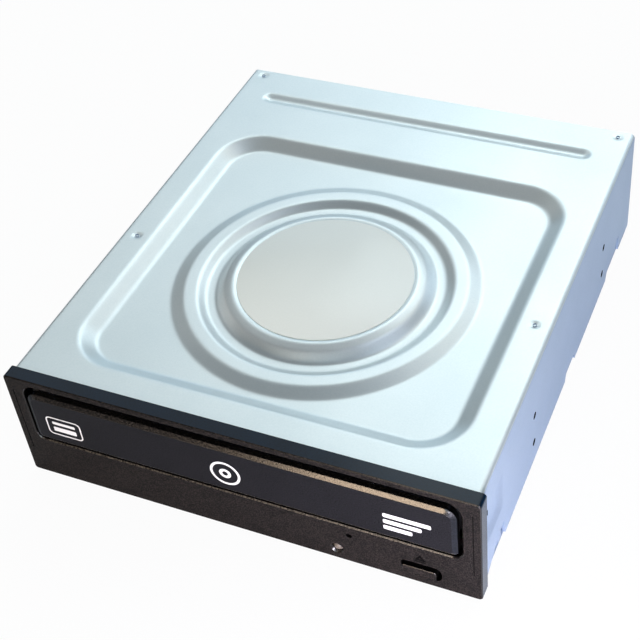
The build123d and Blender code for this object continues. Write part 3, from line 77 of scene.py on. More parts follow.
# Materials
finishes = {
    # a and b: the two colours that the grain blends; rough: lowest and highest roughness
    # speck and blotch: sizes of the fine and the coarse noise in mm; bump: height of the grain in mm
    "coverSteel": dict(a=(0.72, 0.78, 0.80), b=(0.67, 0.74, 0.765), metal=0.72, rough=(0.42, 0.47),
                       speck=0.55, blotch=30.0, bump=0.006),
    # the cover's steel made darker and bluer for the sides: painted shade and painted reflection
    "sideSteelPaintedShade": dict(a=(0.455, 0.55, 0.71), b=(0.42, 0.515, 0.67), metal=0.72, rough=(0.42, 0.48),
                      speck=0.55, blotch=24.0, bump=0.006),
    "coverDisc": dict(a=(0.94, 0.96, 0.91), b=(0.91, 0.93, 0.88), metal=0.0, rough=(0.24, 0.28),
                      speck=0.6, blotch=30.0, bump=0.001),
    "bezelPlastic": dict(a=(0.001, 0.001, 0.0012), b=(0.026, 0.021, 0.0195), metal=0.0, rough=(0.30, 0.48),
                         speck=0.40, blotch=14.0, bump=0.030, gloss=0.05, grain=(0.42, 0.68), mottle=0.1),
    # the bezel plastic tinted blue for its top and sides: painted reflection
    "bezelPaintedSheen": dict(a=(0.0005, 0.007, 0.018), b=(0.001, 0.013, 0.032), metal=0.0, rough=(0.16, 0.24),
                       speck=0.5, blotch=14.0, bump=0.004, gloss=0.18),
    "doorPlastic": dict(a=(0.001, 0.0011, 0.0020), b=(0.012, 0.0115, 0.0145), metal=0.0, rough=(0.26, 0.42),
                        speck=0.40, blotch=14.0, bump=0.018, gloss=0.07, grain=(0.36, 0.68), mottle=0.1),
    "edgeGloss": dict(a=(0.002, 0.002, 0.002), b=(0.018, 0.015, 0.013), metal=0.0, rough=(0.16, 0.25),
                      speck=0.5, blotch=14.0, bump=0.020, gloss=0.40, grain=(0.40, 0.62), mottle=0.1),
    # the door plastic, bluer and less glossy, for its rounded ends: painted shade and painted reflection
    "doorSideShade": dict(a=(0.001, 0.0014, 0.0022), b=(0.013, 0.015, 0.021), metal=0.0, rough=(0.30, 0.40),
                     speck=0.5, blotch=14.0, bump=0.006, gloss=0.10),
    # a brighter cream-tan colour with strong gloss for lit upward edges: painted highlight
    "lipPaintedHighlight": dict(a=(0.006, 0.005, 0.004), b=(0.075, 0.063, 0.048), metal=0.0, rough=(0.18, 0.27),
                     speck=0.5, blotch=14.0, bump=0.030, gloss=0.80, grain=(0.36, 0.62), mottle=0.1),
    "framePlastic": dict(a=(0.02, 0.02, 0.022), b=(0.03, 0.03, 0.032), metal=0.0, rough=(0.45, 0.6),
                         speck=0.4, blotch=12.0, bump=0.012),
    "trayPlastic": dict(a=(0.028, 0.028, 0.03), b=(0.038, 0.038, 0.04), metal=0.0, rough=(0.42, 0.58),
                        speck=0.35, blotch=16.0, bump=0.014),
    "bridgeSteel": dict(a=(0.50, 0.53, 0.56), b=(0.42, 0.45, 0.48), metal=0.9, rough=(0.30, 0.46),
                        speck=0.5, blotch=5.0, bump=0.008),
    "whiteNylon": dict(a=(0.78, 0.77, 0.71), b=(0.74, 0.73, 0.67), metal=0.0, rough=(0.38, 0.5),
                       speck=0.5, blotch=8.0, bump=0.006),
    "turnedBrass": dict(a=(0.72, 0.53, 0.24), b=(0.62, 0.45, 0.20), metal=1.0, rough=(0.22, 0.36),
                        speck=0.15, blotch=3.0, bump=0.003),
    "zincSteel": dict(a=(0.55, 0.56, 0.58), b=(0.46, 0.47, 0.50), metal=1.0, rough=(0.26, 0.40),
                      speck=0.3, blotch=4.0, bump=0.004),
    "groundSteel": dict(a=(0.72, 0.73, 0.75), b=(0.66, 0.67, 0.69), metal=1.0, rough=(0.12, 0.20),
                        speck=0.2, blotch=6.0, bump=0.001),
    "blackRubber": dict(a=(0.02, 0.02, 0.02), b=(0.032, 0.032, 0.032), metal=0.0, rough=(0.65, 0.8),
                        speck=0.3, blotch=5.0, bump=0.01),
    "hubPlastic": dict(a=(0.03, 0.03, 0.032), b=(0.045, 0.045, 0.048), metal=0.0, rough=(0.3, 0.42),
                       speck=0.3, blotch=7.0, bump=0.006),
    "darkMagnet": dict(a=(0.10, 0.10, 0.11), b=(0.07, 0.07, 0.08), metal=0.6, rough=(0.45, 0.6),
                       speck=0.25, blotch=3.0, bump=0.01),
    "woundCopper": dict(a=(0.62, 0.27, 0.12), b=(0.48, 0.19, 0.08), metal=0.9, rough=(0.28, 0.42),
                        speck=0.2, blotch=2.0, bump=0.01),
    "dieCast": dict(a=(0.42, 0.43, 0.45), b=(0.35, 0.36, 0.38), metal=0.85, rough=(0.40, 0.55),
                    speck=0.3, blotch=5.0, bump=0.02),
    "solderMask": dict(a=(0.012, 0.12, 0.045), b=(0.016, 0.15, 0.06), metal=0.0, rough=(0.22, 0.34),
                       speck=0.8, blotch=6.0, bump=0.006),
    "chipResin": dict(a=(0.02, 0.02, 0.021), b=(0.03, 0.03, 0.031), metal=0.0, rough=(0.45, 0.6),
                      speck=0.2, blotch=4.0, bump=0.008),
    "plainCan": dict(a=(0.62, 0.63, 0.65), b=(0.56, 0.57, 0.59), metal=0.95, rough=(0.24, 0.34),
                     speck=0.2, blotch=4.0, bump=0.003),
    "ribbonFilm": dict(a=(0.68, 0.70, 0.73), b=(0.62, 0.64, 0.68), metal=0.0, rough=(0.3, 0.4),
                       speck=0.5, blotch=6.0, bump=0.002),
    "switchRed": dict(a=(0.55, 0.09, 0.04), b=(0.48, 0.07, 0.03), metal=0.0, rough=(0.35, 0.45),
                      speck=0.3, blotch=3.0, bump=0.003),
    "goldContact": dict(a=(0.83, 0.60, 0.25), b=(0.76, 0.53, 0.21), metal=1.0, rough=(0.16, 0.26),
                        speck=0.2, blotch=2.0, bump=0.002),
    "markPrint": dict(a=(0.66, 0.66, 0.67), b=(0.60, 0.60, 0.61), metal=0.0, rough=(0.4, 0.5),
                      speck=0.2, blotch=3.0, bump=0.002),
    # near black for the eject sign's print, and painted shade in holes, gaps, grooves and slots
    "printAndShadeBlack": dict(a=(0.0008, 0.0008, 0.0008), b=(0.0015, 0.0015, 0.0015), metal=0.0, rough=(0.6, 0.7),
                      speck=0.2, blotch=3.0, bump=0.002, gloss=0.03),
}

# gloss: strength of the mirror layer; grain: noise levels between which the colours blend
# mottle: share of the coarse noise in the colour
plainLook = dict(gloss=0.5, grain=(0.36, 0.64), mottle=0.5)
# low and high: noise levels at which the roughness is lowest and highest
noise = {"blotchDetail": 4, "speckDetail": 2, "low": 0.3, "high": 0.7}


def addNode(tree, kind, values, operation=None):
    node = tree.nodes.new(kind)
    if operation:
        node.operation = operation
    for socket, value in values.items():
        node.inputs[socket].default_value = value
    return node


def setRamp(ramp, stops):
    for element, (position, colour) in zip(ramp.color_ramp.elements, stops):
        element.position = position
        element.color = (*colour, 1)


def wire(tree, pairs):
    for start, end in pairs:
        tree.links.new(start, end)


def newMaterial(name):
    material = bpy.data.materials.new(name)
    material.use_nodes = True
    return material, material.node_tree.nodes["Principled BSDF"]


def makeFinish(name, look):
    look = {**plainLook, **look}
    material, shader = newMaterial(name)
    tree = material.node_tree
    place = addNode(tree, "ShaderNodeTexCoord", {})
    blotch = addNode(tree, "ShaderNodeTexNoise",
                     {"Scale": 1 / (look["blotch"] * mm), "Detail": noise["blotchDetail"]})
    speck = addNode(tree, "ShaderNodeTexNoise",
                    {"Scale": 1 / (look["speck"] * mm), "Detail": noise["speckDetail"]})
    share = addNode(tree, "ShaderNodeMath", {1: look["mottle"]}, "MULTIPLY")
    blend = addNode(tree, "ShaderNodeMath", {1: 1 - look["mottle"]}, "MULTIPLY_ADD")
    ramp = addNode(tree, "ShaderNodeValToRGB", {})
    low, high = look["grain"]
    setRamp(ramp, [(low, look["a"]), (high, look["b"])])
    smoothest, roughest = look["rough"]
    spread = addNode(tree, "ShaderNodeMapRange", {"From Min": noise["low"], "From Max": noise["high"],
                                                  "To Min": smoothest, "To Max": roughest})
    bump = addNode(tree, "ShaderNodeBump", {"Strength": 1.0, "Distance": look["bump"] * mm})
    shader.inputs["Metallic"].default_value = look["metal"]
    shader.inputs["Specular IOR Level"].default_value = look["gloss"]
    wire(tree, [
        (place.outputs["Object"], blotch.inputs["Vector"]),
        (place.outputs["Object"], speck.inputs["Vector"]),
        (blotch.outputs["Fac"], share.inputs[0]),
        (speck.outputs["Fac"], blend.inputs[0]),
        (share.outputs[0], blend.inputs[2]),
        (blend.outputs[0], ramp.inputs["Fac"]),
        (ramp.outputs["Color"], shader.inputs["Base Color"]),
        (blend.outputs[0], spread.inputs["Value"]),
        (spread.outputs["Result"], shader.inputs["Roughness"]),
        (speck.outputs["Fac"], bump.inputs["Height"]),
        (bump.outputs["Normal"], shader.inputs["Normal"]),
    ])
    return material


def makeClear(name, colour, rough, ior, through):
    material, shader = newMaterial(name)
    shader.inputs["Base Color"].default_value = (*colour, 1)
    shader.inputs["Roughness"].default_value = rough
    shader.inputs["IOR"].default_value = ior
    shader.inputs["Transmission Weight"].default_value = through
    return material


materials = {name: makeFinish(name, look) for name, look in finishes.items()}
materials["lampClear"] = makeClear("lampClear", (0.13, 0.108, 0.09), rough=0.42, ior=1.45, through=0.15)
materials["lensGlass"] = makeClear("lensGlass", (0.78, 0.86, 0.98), rough=0.02, ior=1.55, through=0.85)

slotFinish = {
    "cover_steel": "coverSteel", "cover_disc": "coverDisc", "bezel_plastic": "bezelPlastic",
    "clear_plastic": "lampClear", "frame_plastic": "framePlastic", "tray_plastic": "trayPlastic",
    "bridge_steel": "bridgeSteel", "white_plastic": "whiteNylon", "pulley_brass": "turnedBrass",
    "motor_steel": "zincSteel", "polished_steel": "groundSteel", "rubber": "blackRubber",
    "hub_plastic": "hubPlastic", "magnet": "darkMagnet", "copper": "woundCopper", "pickup_metal": "dieCast",
    "lens_glass": "lensGlass", "board_green": "solderMask", "chip_black": "chipResin",
    "capacitor_metal": "plainCan", "ribbon_white": "ribbonFilm", "switch_plastic": "switchRed",
    "screw_steel": "zincSteel",
}
# the bottom cover wears the sides' darker, bluer steel: painted shade and painted reflection
nodeFinish = {"bottom_cover": "sideSteelPaintedShade"}  # nodes that don't wear the finish of their slot
for name, node in nodes.items():
    finish = materials[nodeFinish.get(name, slotFinish[slotOf(name)])]
    if not node.data.materials:
        node.data.materials.append(finish)
    for index in range(len(node.data.materials)):
        node.data.materials[index] = finish
print("materials done")


# Helpers for meshes
def link(piece):
    bpy.context.scene.collection.objects.link(piece)


def smoothByAngle(piece, degrees):
    bpy.ops.object.select_all(action="DESELECT")
    piece.select_set(True)
    bpy.context.view_layer.objects.active = piece
    bpy.ops.object.shade_smooth_by_angle(angle=math.radians(degrees))


def toObject(name, mesh, finish, body, smoothDeg=None):
    piece = bpy.data.objects.new(name, mesh)
    link(piece)
    mesh.materials.clear()
    mesh.materials.append(materials[finish])
    if smoothDeg is not None:
        smoothByAngle(piece, smoothDeg)
    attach(piece, body)
    return piece


def band(work, first, second):
    # Four-sided faces between two closed loops of points
    for i in range(len(first)):
        j = (i + 1) % len(first)
        work.faces.new((first[i], second[i], second[j], first[j]))


def fromBmesh(work, name):
    # The finished mesh of a bmesh, which is freed
    mesh = bpy.data.meshes.new(name)
    work.to_mesh(mesh)
    work.free()
    return mesh


def fromPoints(name, verts, faces):
    mesh = bpy.data.meshes.new(name)
    mesh.from_pydata(verts, [], faces)
    mesh.update()
    return mesh


# together: mm between points that count as one; flat: degrees between faces that count as one
rounded = {"together": 0.002, "flat": 0.6, "segments": 2, "weight": 90}


def softened(nodeName, width, finish=None, angle=32.0, keep=None, cutZ=None, smooth=40):
    # A copy of a CAD node with its edges rounded off, which stands for the node
    work = bmesh.new()
    work.from_mesh(nodes[nodeName].data)
    bmesh.ops.remove_doubles(work, verts=work.verts, dist=rounded["together"] * mm)
    if cutZ:
        everything = work.verts[:] + work.edges[:] + work.faces[:]
        bmesh.ops.bisect_plane(work, geom=everything, plane_co=(0, 0, cutZ * mm), plane_no=(0, 0, 1))
    if keep:
        gone = [face for face in work.faces if not keep(face)]
        bmesh.ops.delete(work, geom=gone, context="FACES")
    flat = math.radians(rounded["flat"])
    bmesh.ops.dissolve_limit(work, angle_limit=flat, verts=work.verts, edges=work.edges)
    slot = slotOf(nodeName)
    piece = toObject(nodeName + "Soft", fromBmesh(work, nodeName + "Soft"), finish or slotFinish[slot],
                     bodyOf(nodeName))
    bpy.context.view_layer.objects.active = piece
    rounding = piece.modifiers.new("rounding", "BEVEL")
    rounding.width = width * mm
    rounding.segments = rounded["segments"]
    rounding.limit_method = "ANGLE"
    rounding.angle_limit = math.radians(angle)
    rounding.miter_outer = "MITER_ARC"
    bpy.ops.object.select_all(action="DESELECT")
    piece.select_set(True)
    bpy.ops.object.modifier_apply(modifier="rounding")
    smoothByAngle(piece, smooth)
    weigh = piece.modifiers.new("weigh", "WEIGHTED_NORMAL")
    weigh.keep_sharp = True
    weigh.weight = rounded["weight"]
    bpy.ops.object.modifier_apply(modifier="weigh")
    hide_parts(nodeName)
    return piece


def refinish(piece, finish, pick):
    # Gives the faces that pick chooses another finish; most uses paint shade, highlight or reflection this
    # way
    piece.data.materials.append(materials[finish])
    index = len(piece.data.materials) - 1
    for face in piece.data.polygons:
        if pick(face):
            face.material_index = index


def lathe(profile, steps, centre, name):
    # Profile of (radius, z) in mm turned about a vertical axis through centre, closed at both ends
    verts = []
    faces = []
    rings = []
    for radius, z in profile:
        if radius == 0:
            rings.append([len(verts)])
            verts.append((centre[0] * mm, centre[1] * mm, z * mm))
            continue
        ring = []
        for i in range(steps):
            turn = 2 * math.pi * i / steps
            ring.append(len(verts))
            x = centre[0] + radius * math.cos(turn)
            y = centre[1] + radius * math.sin(turn)
            verts.append((x * mm, y * mm, z * mm))
        rings.append(ring)
    for low, high in zip(rings[:-1], rings[1:]):
        for i in range(steps):
            j = (i + 1) % steps
            if len(low) == 1:
                faces.append((low[0], high[j], high[i]))
            elif len(high) == 1:
                faces.append((low[i], low[j], high[0]))
            else:
                faces.append((low[i], low[j], high[j], high[i]))
    return fromPoints(name, verts, faces)


def heightAt(levels, value):
    # Height at a distance on a profile given as (distance, height) points
    return np.interp(value, [place for place, height in levels], [height for place, height in levels])


def roundProfile(levels, width, step=0.05, margin=4):
    # The same profile with rounded corners, as a function of the distance
    place = np.arange(levels[0][0] - margin, levels[-1][0] + margin, step)
    height = heightAt(levels, place)
    count = max(1, int(width / step))
    kernel = np.hanning(count + 2)[1:-1]
    kernel = kernel / kernel.sum()
    padded = np.pad(height, count, mode="edge")
    smooth = np.convolve(padded, kernel, mode="same")[count:-count]
    return lambda value: np.interp(value, place, smooth)


# Top cover: one fine skin with soft pressed forms, on the CAD's own sides
press = {
    "step": 0.6, "halfWidth": 71.4, "bend": 1.6, "bendSteps": 8, "sideDown": 2.4, "front": 4.5, "rear": 169.5,
    "pocketHalf": 62.6, "pocketFront": 13.0, "pocketRear": 132.0, "pocketRound": 16.0,
    "pocketWall": [(-0.4, 0), (0.1, 0), (4.9, -3.25), (6, -3.25)], "pocketSoft": 2.4,
    "ring": [(0, -0.03), (28.0, -0.03), (28.25, 0.30), (29.0, 0.34), (29.7, 0.16), (30.6, -0.22),
             (31.6, -0.55), (34.6, -3.25), (37.6, -3.25), (40.3, -1.45), (44.5, -1.45), (48.7, -3.25),
             (50, -3.25)],
    "ringSoft": 1.3, "ringReach": 49.5, "spindleDepth": 69.0,
    "bead": [(0, -1.15), (0.5, -1.12), (2.9, 0), (4, 0)], "beadHalf": 58.8, "beadDepth": 153.8,
    "beadSoft": 0.8,
    # dimples: x and depth, mirrored; profile; radius of the rim; its shares within which points move onto it
    "pips": [(67.8, 166.5), (67.5, 69.0)], "pip": [(1.0, -0.34), (1.5, -0.06), (2.0, 0.0)],
    "pipRim": 1.0, "pipPull": (0.55, 1.35),
    # the skin's faces that look further to the side than this have the sides' steel, darker and bluer:
    # painted shade and painted reflection
    "sideways": 0.9,
}


def coverHeights(x, depth):
    across = np.abs(x)
    middle = (press["pocketFront"] + press["pocketRear"]) / 2
    reach = (press["pocketRear"] - press["pocketFront"]) / 2
    corner = press["pocketRound"]
    pastX = across - (press["pocketHalf"] - corner)
    pastDepth = np.abs(depth - middle) - (reach - corner)
    outer = np.hypot(np.maximum(pastX, 0), np.maximum(pastDepth, 0))
    outside = outer + np.minimum(np.maximum(pastX, pastDepth), 0) - corner
    pocket = roundProfile(press["pocketWall"], press["pocketSoft"])(-outside)
    radius = np.hypot(x, depth - press["spindleDepth"])
    ring = roundProfile(press["ring"], press["ringSoft"])(radius)
    height = np.where(radius < press["ringReach"], ring, pocket)
    along = np.maximum(across - press["beadHalf"], 0)
    fromBead = np.hypot(along, depth - press["beadDepth"])
    height = height + roundProfile(press["bead"], press["beadSoft"])(fromBead)
    for pipX, pipDepth in press["pips"]:
        height = height + heightAt(press["pip"], np.hypot(across - pipX, depth - pipDepth))
    return height


def evenly(start, end):
    return np.linspace(start, end, int((end - start) / press["step"]) + 1)


def makeCoverSkin():
    half, bend, rim = press["halfWidth"], press["bend"], press["pipRim"]
    arc = bend * math.pi / 2
    turned = [arc * i / press["bendSteps"] for i in range(1, press["bendSteps"] + 1)]
    wrap = np.array(turned + [arc + press["sideDown"] / 2, arc + press["sideDown"]])
    across = np.concatenate([-half - wrap[::-1], evenly(-half, half), half + wrap])
    gridX, gridDepth = np.meshgrid(across, evenly(press["front"], press["rear"]))
    nearest, farthest = press["pipPull"]
    for pipX, pipDepth in press["pips"]:
        for side in (-1, 1):
            # pull the nearest points onto the rim of the small round dimple
            dx = gridX - side * pipX
            dy = gridDepth - pipDepth
            away = np.hypot(dx, dy)
            near = (away > rim * nearest) & (away < rim * farthest)
            scale = np.where(near, rim / np.maximum(away, rim * nearest), 1)
            gridX = side * pipX + dx * scale
            gridDepth = pipDepth + dy * scale
    heights = coverHeights(gridX, gridDepth)
    # beyond the flat top the sheet turns down over both sides
    past = np.maximum(np.abs(gridX) - half, 0)
    swing = np.minimum(past, arc) / bend
    heights = heights - bend * (1 - np.cos(swing)) - np.maximum(past - arc, 0)
    gridX = np.sign(gridX) * (np.minimum(np.abs(gridX), half) + bend * np.sin(swing))
    rows, columns = gridX.shape
    verts = np.column_stack([gridX.ravel(), gridDepth.ravel() + frontY, topZ + heights.ravel()]) * mm
    faces = []
    for row in range(rows - 1):
        for column in range(columns - 1):
            first = row * columns + column
            faces.append((first, first + 1, first + columns + 1, first + columns))
    mesh = fromPoints("coverSkin", verts.tolist(), faces)
    for face in mesh.polygons:
        face.use_smooth = True
    return mesh


coverSkin = toObject("coverSkin", makeCoverSkin(), "coverSteel", "drive_body")
# the skin's bends and sides get the darker, bluer steel: painted shade and painted reflection
refinish(coverSkin, "sideSteelPaintedShade", lambda face: abs(face.normal.x) > press["sideways"])
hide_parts("top_cover")

# Limits in mm (holeWall in mm2) and directions that tell the faces of the CAD's cover apart
# seam: the height at which the skin ends on both sides and the CAD's faces begin
sides = {
    "seam": topZ - press["bend"] - press["sideDown"], "topLow": 38, "topHalf": 73.1, "upward": 0.02,
    "wall": 72.95, "sideways": 0.99,
    "holeDeep": 70.2, "holeLow": 5, "holeHigh": 25, "holeWall": 1.5, "holeSideways": 0.7,
}


def notPressedTop(face):
    centre = face.calc_center_median() / mm
    pressed = face.normal.z > sides["upward"] and centre.z > sides["topLow"]
    pressed = pressed and abs(centre.x) < sides["topHalf"]
    side = abs(face.normal.x) > sides["sideways"] and abs(centre.x) > sides["wall"]
    return not pressed and not (side and centre.z > sides["seam"])


# walls of the small holes in the cover's sides, which get painted shade
def inBayHole(face):
    small = face.area < sides["holeWall"] * mm * mm and abs(face.normal.x) < sides["holeSideways"]
    low = sides["holeLow"] < face.center.z / mm < sides["holeHigh"]
    return small and low and abs(face.center.x) / mm > sides["holeDeep"]


# the cover's remaining CAD faces wear the darker, bluer steel: painted shade and painted reflection
coverSides = softened("top_cover", width=0.1, finish="sideSteelPaintedShade", keep=notPressedTop, angle=50,
                      cutZ=sides["seam"])
# painted shade inside the small holes in the sides
refinish(coverSides, "printAndShadeBlack", inBayHole)
print("top cover done")

# Smooth disc in the boss
disc = {"radius": 27.75, "thick": 0.30, "round": 0.168, "corner": 0.048, "sunk": 0.02, "steps": 256}


def makeDisc():
    radius, edge, corner = disc["radius"], disc["round"], disc["corner"]
    face = topZ + disc["thick"]
    under = topZ - disc["sunk"]
    profile = [(0, under), (radius, under), (radius, face - edge), (radius - corner, face - corner),
               (radius - edge, face), (0, face)]
    return lathe(profile, disc["steps"], (0, frontY + press["spindleDepth"]), "coverDiscPlate")


coverDisc = toObject("coverDiscPlate", makeDisc(), "coverDisc", "drive_body", smoothDeg=35)
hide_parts("cover_disc")

# Bezel, door and button with rounded edges: the front is textured, the edges are glossier, lit edges have a
# painted highlight, the top and sides a painted blue reflection and the gaps painted shade
mould = {
    # a face whose normal has y below flat looks to the front, and below edge it belongs to a rounded edge
    "flat": -0.95, "edge": -0.35, "upward": 0.3, "doorEnd": 0.25, "doorSideShade": 0.4, "doorBack": -0.3,
    # outer sides of the bezel, its lip under the door (painted highlight) and its upright grooves (painted
    # shade), x and z in mm
    "outerX": 73.5, "outerLow": 0.5, "outerHigh": 41.5, "lipX": 30, "lipLow": 12, "lipHigh": 22,
    "grooveIn": 70.9, "grooveOut": 72.3, "grooveLow": 6, "grooveHigh": 38, "grooveDeep": 0.01,
    # from this depth on the button is in its slot, where it gets painted shade
    "slotDeep": 0.6,
}


def onEdge(face):
    return mould["flat"] < face.normal.y < mould["edge"]


# rounded edges that face up, which get a painted highlight
def facesUp(face):
    return onEdge(face) and face.normal.z > mould["upward"]


def notFront(face):
    return face.normal.y > mould["flat"]


def inBezel(face):
    # Sides of the bezel's openings, grooves and holes, which get painted shade
    inside = abs(face.center.x) / mm < mould["outerX"]
    inside = inside and mould["outerLow"] < face.center.z / mm < mould["outerHigh"]
    return inside and face.normal.y > mould["edge"]


# the lip under the door, which gets a painted highlight
def onLip(face):
    middle = abs(face.center.x) / mm < mould["lipX"]
    return facesUp(face) and middle and mould["lipLow"] < face.center.z / mm < mould["lipHigh"]


# the bezel's upright grooves, which get painted shade
def inGroove(face):
    beside = mould["grooveIn"] < abs(face.center.x) / mm < mould["grooveOut"]
    high = mould["grooveLow"] < face.center.z / mm < mould["grooveHigh"]
    return beside and high and face.center.y / mm > frontY + mould["grooveDeep"]


def roundedEnd(face):
    return notFront(face) and abs(face.normal.x) > mould["doorEnd"]


# the door's flanks facing into the gap, which get painted shade
def flank(face):
    return face.normal.y > mould["doorBack"] and abs(face.normal.x) > mould["doorSideShade"]


bezelSoft = softened("bezel", width=0.16)
# faces that don't look to the front get the blue tint: painted reflection
refinish(bezelSoft, "bezelPaintedSheen", lambda face: face.normal.y > mould["edge"])
# painted shade in the bezel's openings and holes
refinish(bezelSoft, "printAndShadeBlack", inBezel)
refinish(bezelSoft, "edgeGloss", onEdge)
# painted highlight on the lip under the door
refinish(bezelSoft, "lipPaintedHighlight", onLip)
# painted shade in the upright grooves
refinish(bezelSoft, "printAndShadeBlack", inGroove)
doorSoft = softened("tray_door", width=0.12, finish="doorPlastic", angle=20, smooth=22)
refinish(doorSoft, "edgeGloss", notFront)
# the door's rounded ends get the bluer, darker plastic: painted shade and painted reflection
refinish(doorSoft, "doorSideShade", roundedEnd)
# painted shade on the door's flanks in the gap
refinish(doorSoft, "printAndShadeBlack", flank)
buttonSoft = softened("eject_button", width=0.13)
refinish(buttonSoft, "edgeGloss", notFront)
# painted highlight on the button's upward edges
refinish(buttonSoft, "lipPaintedHighlight", facesUp)
# painted shade on the button inside its slot
refinish(buttonSoft, "printAndShadeBlack", lambda face: face.center.y / mm > frontY + mould["slotDeep"])
print("bezel done")

# Other moulded and folded pieces that show from below, from behind or with the tray out
for name, width in (("tray", 0.20), ("sata_connector", 0.10), ("clamp_bridge", 0.12),
                    ("lifter_frame", 0.20), ("traverse_plate", 0.12), ("pickup_body", 0.20)):
    softened(name, width)
print("moulded pieces done")

# Screws with cross recesses: shares of a screw's own radii and heights, but for steps and above (mm)
screwShape = {
    "tip": 0.7, "tipHigh": 0.5, "rimHigh": 0.45, "edge": 0.92, "edgeHigh": 0.85, "flat": 0.72, "steps": 40,
    "crossLong": 0.62, "crossWide": 0.15, "footLong": 0.55, "footWide": 0.8, "deep": 0.9, "deepest": 0.5,
    "apart": 1.001, "above": 0.1,
}


def makeCross(name, head, thick):
    # The cutter of the recess: two blocks that narrow downwards, one turned by a quarter
    work = bmesh.new()
    deep = min(thick * screwShape["deep"], head * screwShape["deepest"])
    long, wide = head * screwShape["crossLong"], head * screwShape["crossWide"]
    for turned in (False, True):
        top = [(long, wide), (-long, wide), (-long, -wide), (long, -wide)]
        low = [(x * screwShape["footLong"], y * screwShape["footWide"]) for x, y in top]
        if turned:
            # a little longer, so that no two faces fall together
            top = [(-y, x * screwShape["apart"]) for x, y in top]
            low = [(-y, x * screwShape["apart"]) for x, y in low]
        upper = [work.verts.new((x * mm, y * mm, (thick + screwShape["above"]) * mm)) for x, y in top]
        lower = [work.verts.new((x * mm, y * mm, (thick - deep) * mm)) for x, y in low]
        work.faces.new(upper)
        work.faces.new(lower[::-1])
        band(work, upper, lower)
    bmesh.ops.recalc_face_normals(work, faces=work.faces)
    return bpy.data.objects.new(name, fromBmesh(work, name))


def makeScrew(name, spots, head, thick, shank, length, place):
    # A pan head with a cross recess on a plain shank; place turns a local point into a world one
    profile = [(0, -length), (shank * screwShape["tip"], -length),
               (shank, -length + shank * screwShape["tipHigh"]), (shank, 0), (head, 0),
               (head, thick * screwShape["rimHigh"]),
               (head * screwShape["edge"], thick * screwShape["edgeHigh"]),
               (head * screwShape["flat"], thick), (0, thick)]
    blank = bpy.data.objects.new(name, lathe(profile, screwShape["steps"], (0, 0), name))
    cross = makeCross(name + "Cross", head, thick)
    link(blank)
    link(cross)
    cut = blank.modifiers.new("cut", "BOOLEAN")
    cut.operation = "DIFFERENCE"
    cut.object = cross
    cut.use_self = True
    bpy.context.view_layer.objects.active = blank
    bpy.ops.object.modifier_apply(modifier="cut")
    joined = bmesh.new()
    for spot in spots:
        start = len(joined.verts)
        joined.from_mesh(blank.data)
        joined.verts.ensure_lookup_table()
        for vertex in joined.verts[start:]:
            vertex.co = place(spot, vertex.co)
    bmesh.ops.recalc_face_normals(joined, faces=joined.faces)
    bpy.data.objects.remove(blank)
    bpy.data.objects.remove(cross)
    return fromBmesh(joined, name + "Set")


def standing(spot, point):
    # The screw stands at x, depth and the height of its seat, all in mm
    return Vector((spot[0] * mm + point.x, (frontY + spot[1]) * mm + point.y, spot[2] * mm + point.z))


def hanging(spot, point):
    # Driven in from below
    return Vector((spot[0] * mm + point.x, (frontY + spot[1]) * mm - point.y, spot[2] * mm - point.z))


def leaning(spot, point):
    # On the lowered traverse
    return tipped(spot[0] + point.x / mm, spot[1] + point.y / mm, spot[2] + point.z / mm)


screwSets = {
    # spots: x, depth and height of the seat; head and thick: radius and height of the head
    "case_screws": dict(spots=[(x, d, 1.05) for x in (-59, 59) for d in (33.5, 150.0)], head=2.7, thick=0.6,
                        shank=1.2, length=5.4, place=hanging),
    "bridge_screws": dict(spots=[(x, d, 34.22) for x in (-68.15, 68.15) for d in (57, 81)], head=1.9,
                          thick=0.88, shank=0.7, length=4.7, place=standing),
    "motor_screws": dict(spots=[(x, 24.0, 12.87) for x in (5.5, 18.5)], head=1.5, thick=0.48, shank=0.8,
                         length=1.1, place=standing),
    "board_screws": dict(spots=[(x, d, 4.45) for x in (-46, 46) for d in (104, 158)], head=2.3, thick=1.15,
                         shank=1.0, length=3.6, place=standing),
    "damper_screws": dict(spots=[(x, d, 19.9) for x in (-43, 43) for d in (53, 141)], head=3.4, thick=1.4,
                          shank=0.8, length=5.9, place=leaning),
}
for name, screw in screwSets.items():
    mesh = makeScrew(name + "Fine", **screw)
    piece = toObject(name + "Fine", mesh, "zincSteel", bodyOf(name), smoothDeg=35)
    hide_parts(name)
print("screws done")

# Thread on the lead screw; end: radius of its plain ends; shape: power that steepens the groove's sides
thread = {"x": 36.0, "z": 20.5, "front": 79.2, "rear": 140.6, "pitch": 3.0, "outer": 1.4, "deep": 0.35,
          "end": 0.8, "shape": 0.7, "around": 24, "perTurn": 20}


def makeThread():
    length = thread["rear"] - thread["front"]
    rows = int(length / thread["pitch"] * thread["perTurn"])
    around = thread["around"]
    verts = []
    for row in range(rows + 1):
        depth = thread["front"] + length * row / rows
        for i in range(around):
            turn = 2 * math.pi * i / around
            phase = (depth / thread["pitch"] - i / around) % 1.0
            groove = max(0.0, math.cos(2 * math.pi * phase)) ** thread["shape"]
            radius = thread["end"] if row in (0, rows) else thread["outer"] - thread["deep"] * groove
            x = thread["x"] + radius * math.cos(turn)
            verts.append(tuple(tipped(x, depth, thread["z"] + radius * math.sin(turn))))
    faces = []
    for row in range(rows):
        for i in range(around):
            j = (i + 1) % around
            first, second = row * around, (row + 1) * around
            faces.append((first + i, first + j, second + j, second + i))
    faces.append(tuple(range(around))[::-1])
    faces.append(tuple(rows * around + i for i in range(around)))
    return fromPoints("leadThread", verts, faces)


toObject("leadThread", makeThread(), "groundSteel", "lead_screw", smoothDeg=40)

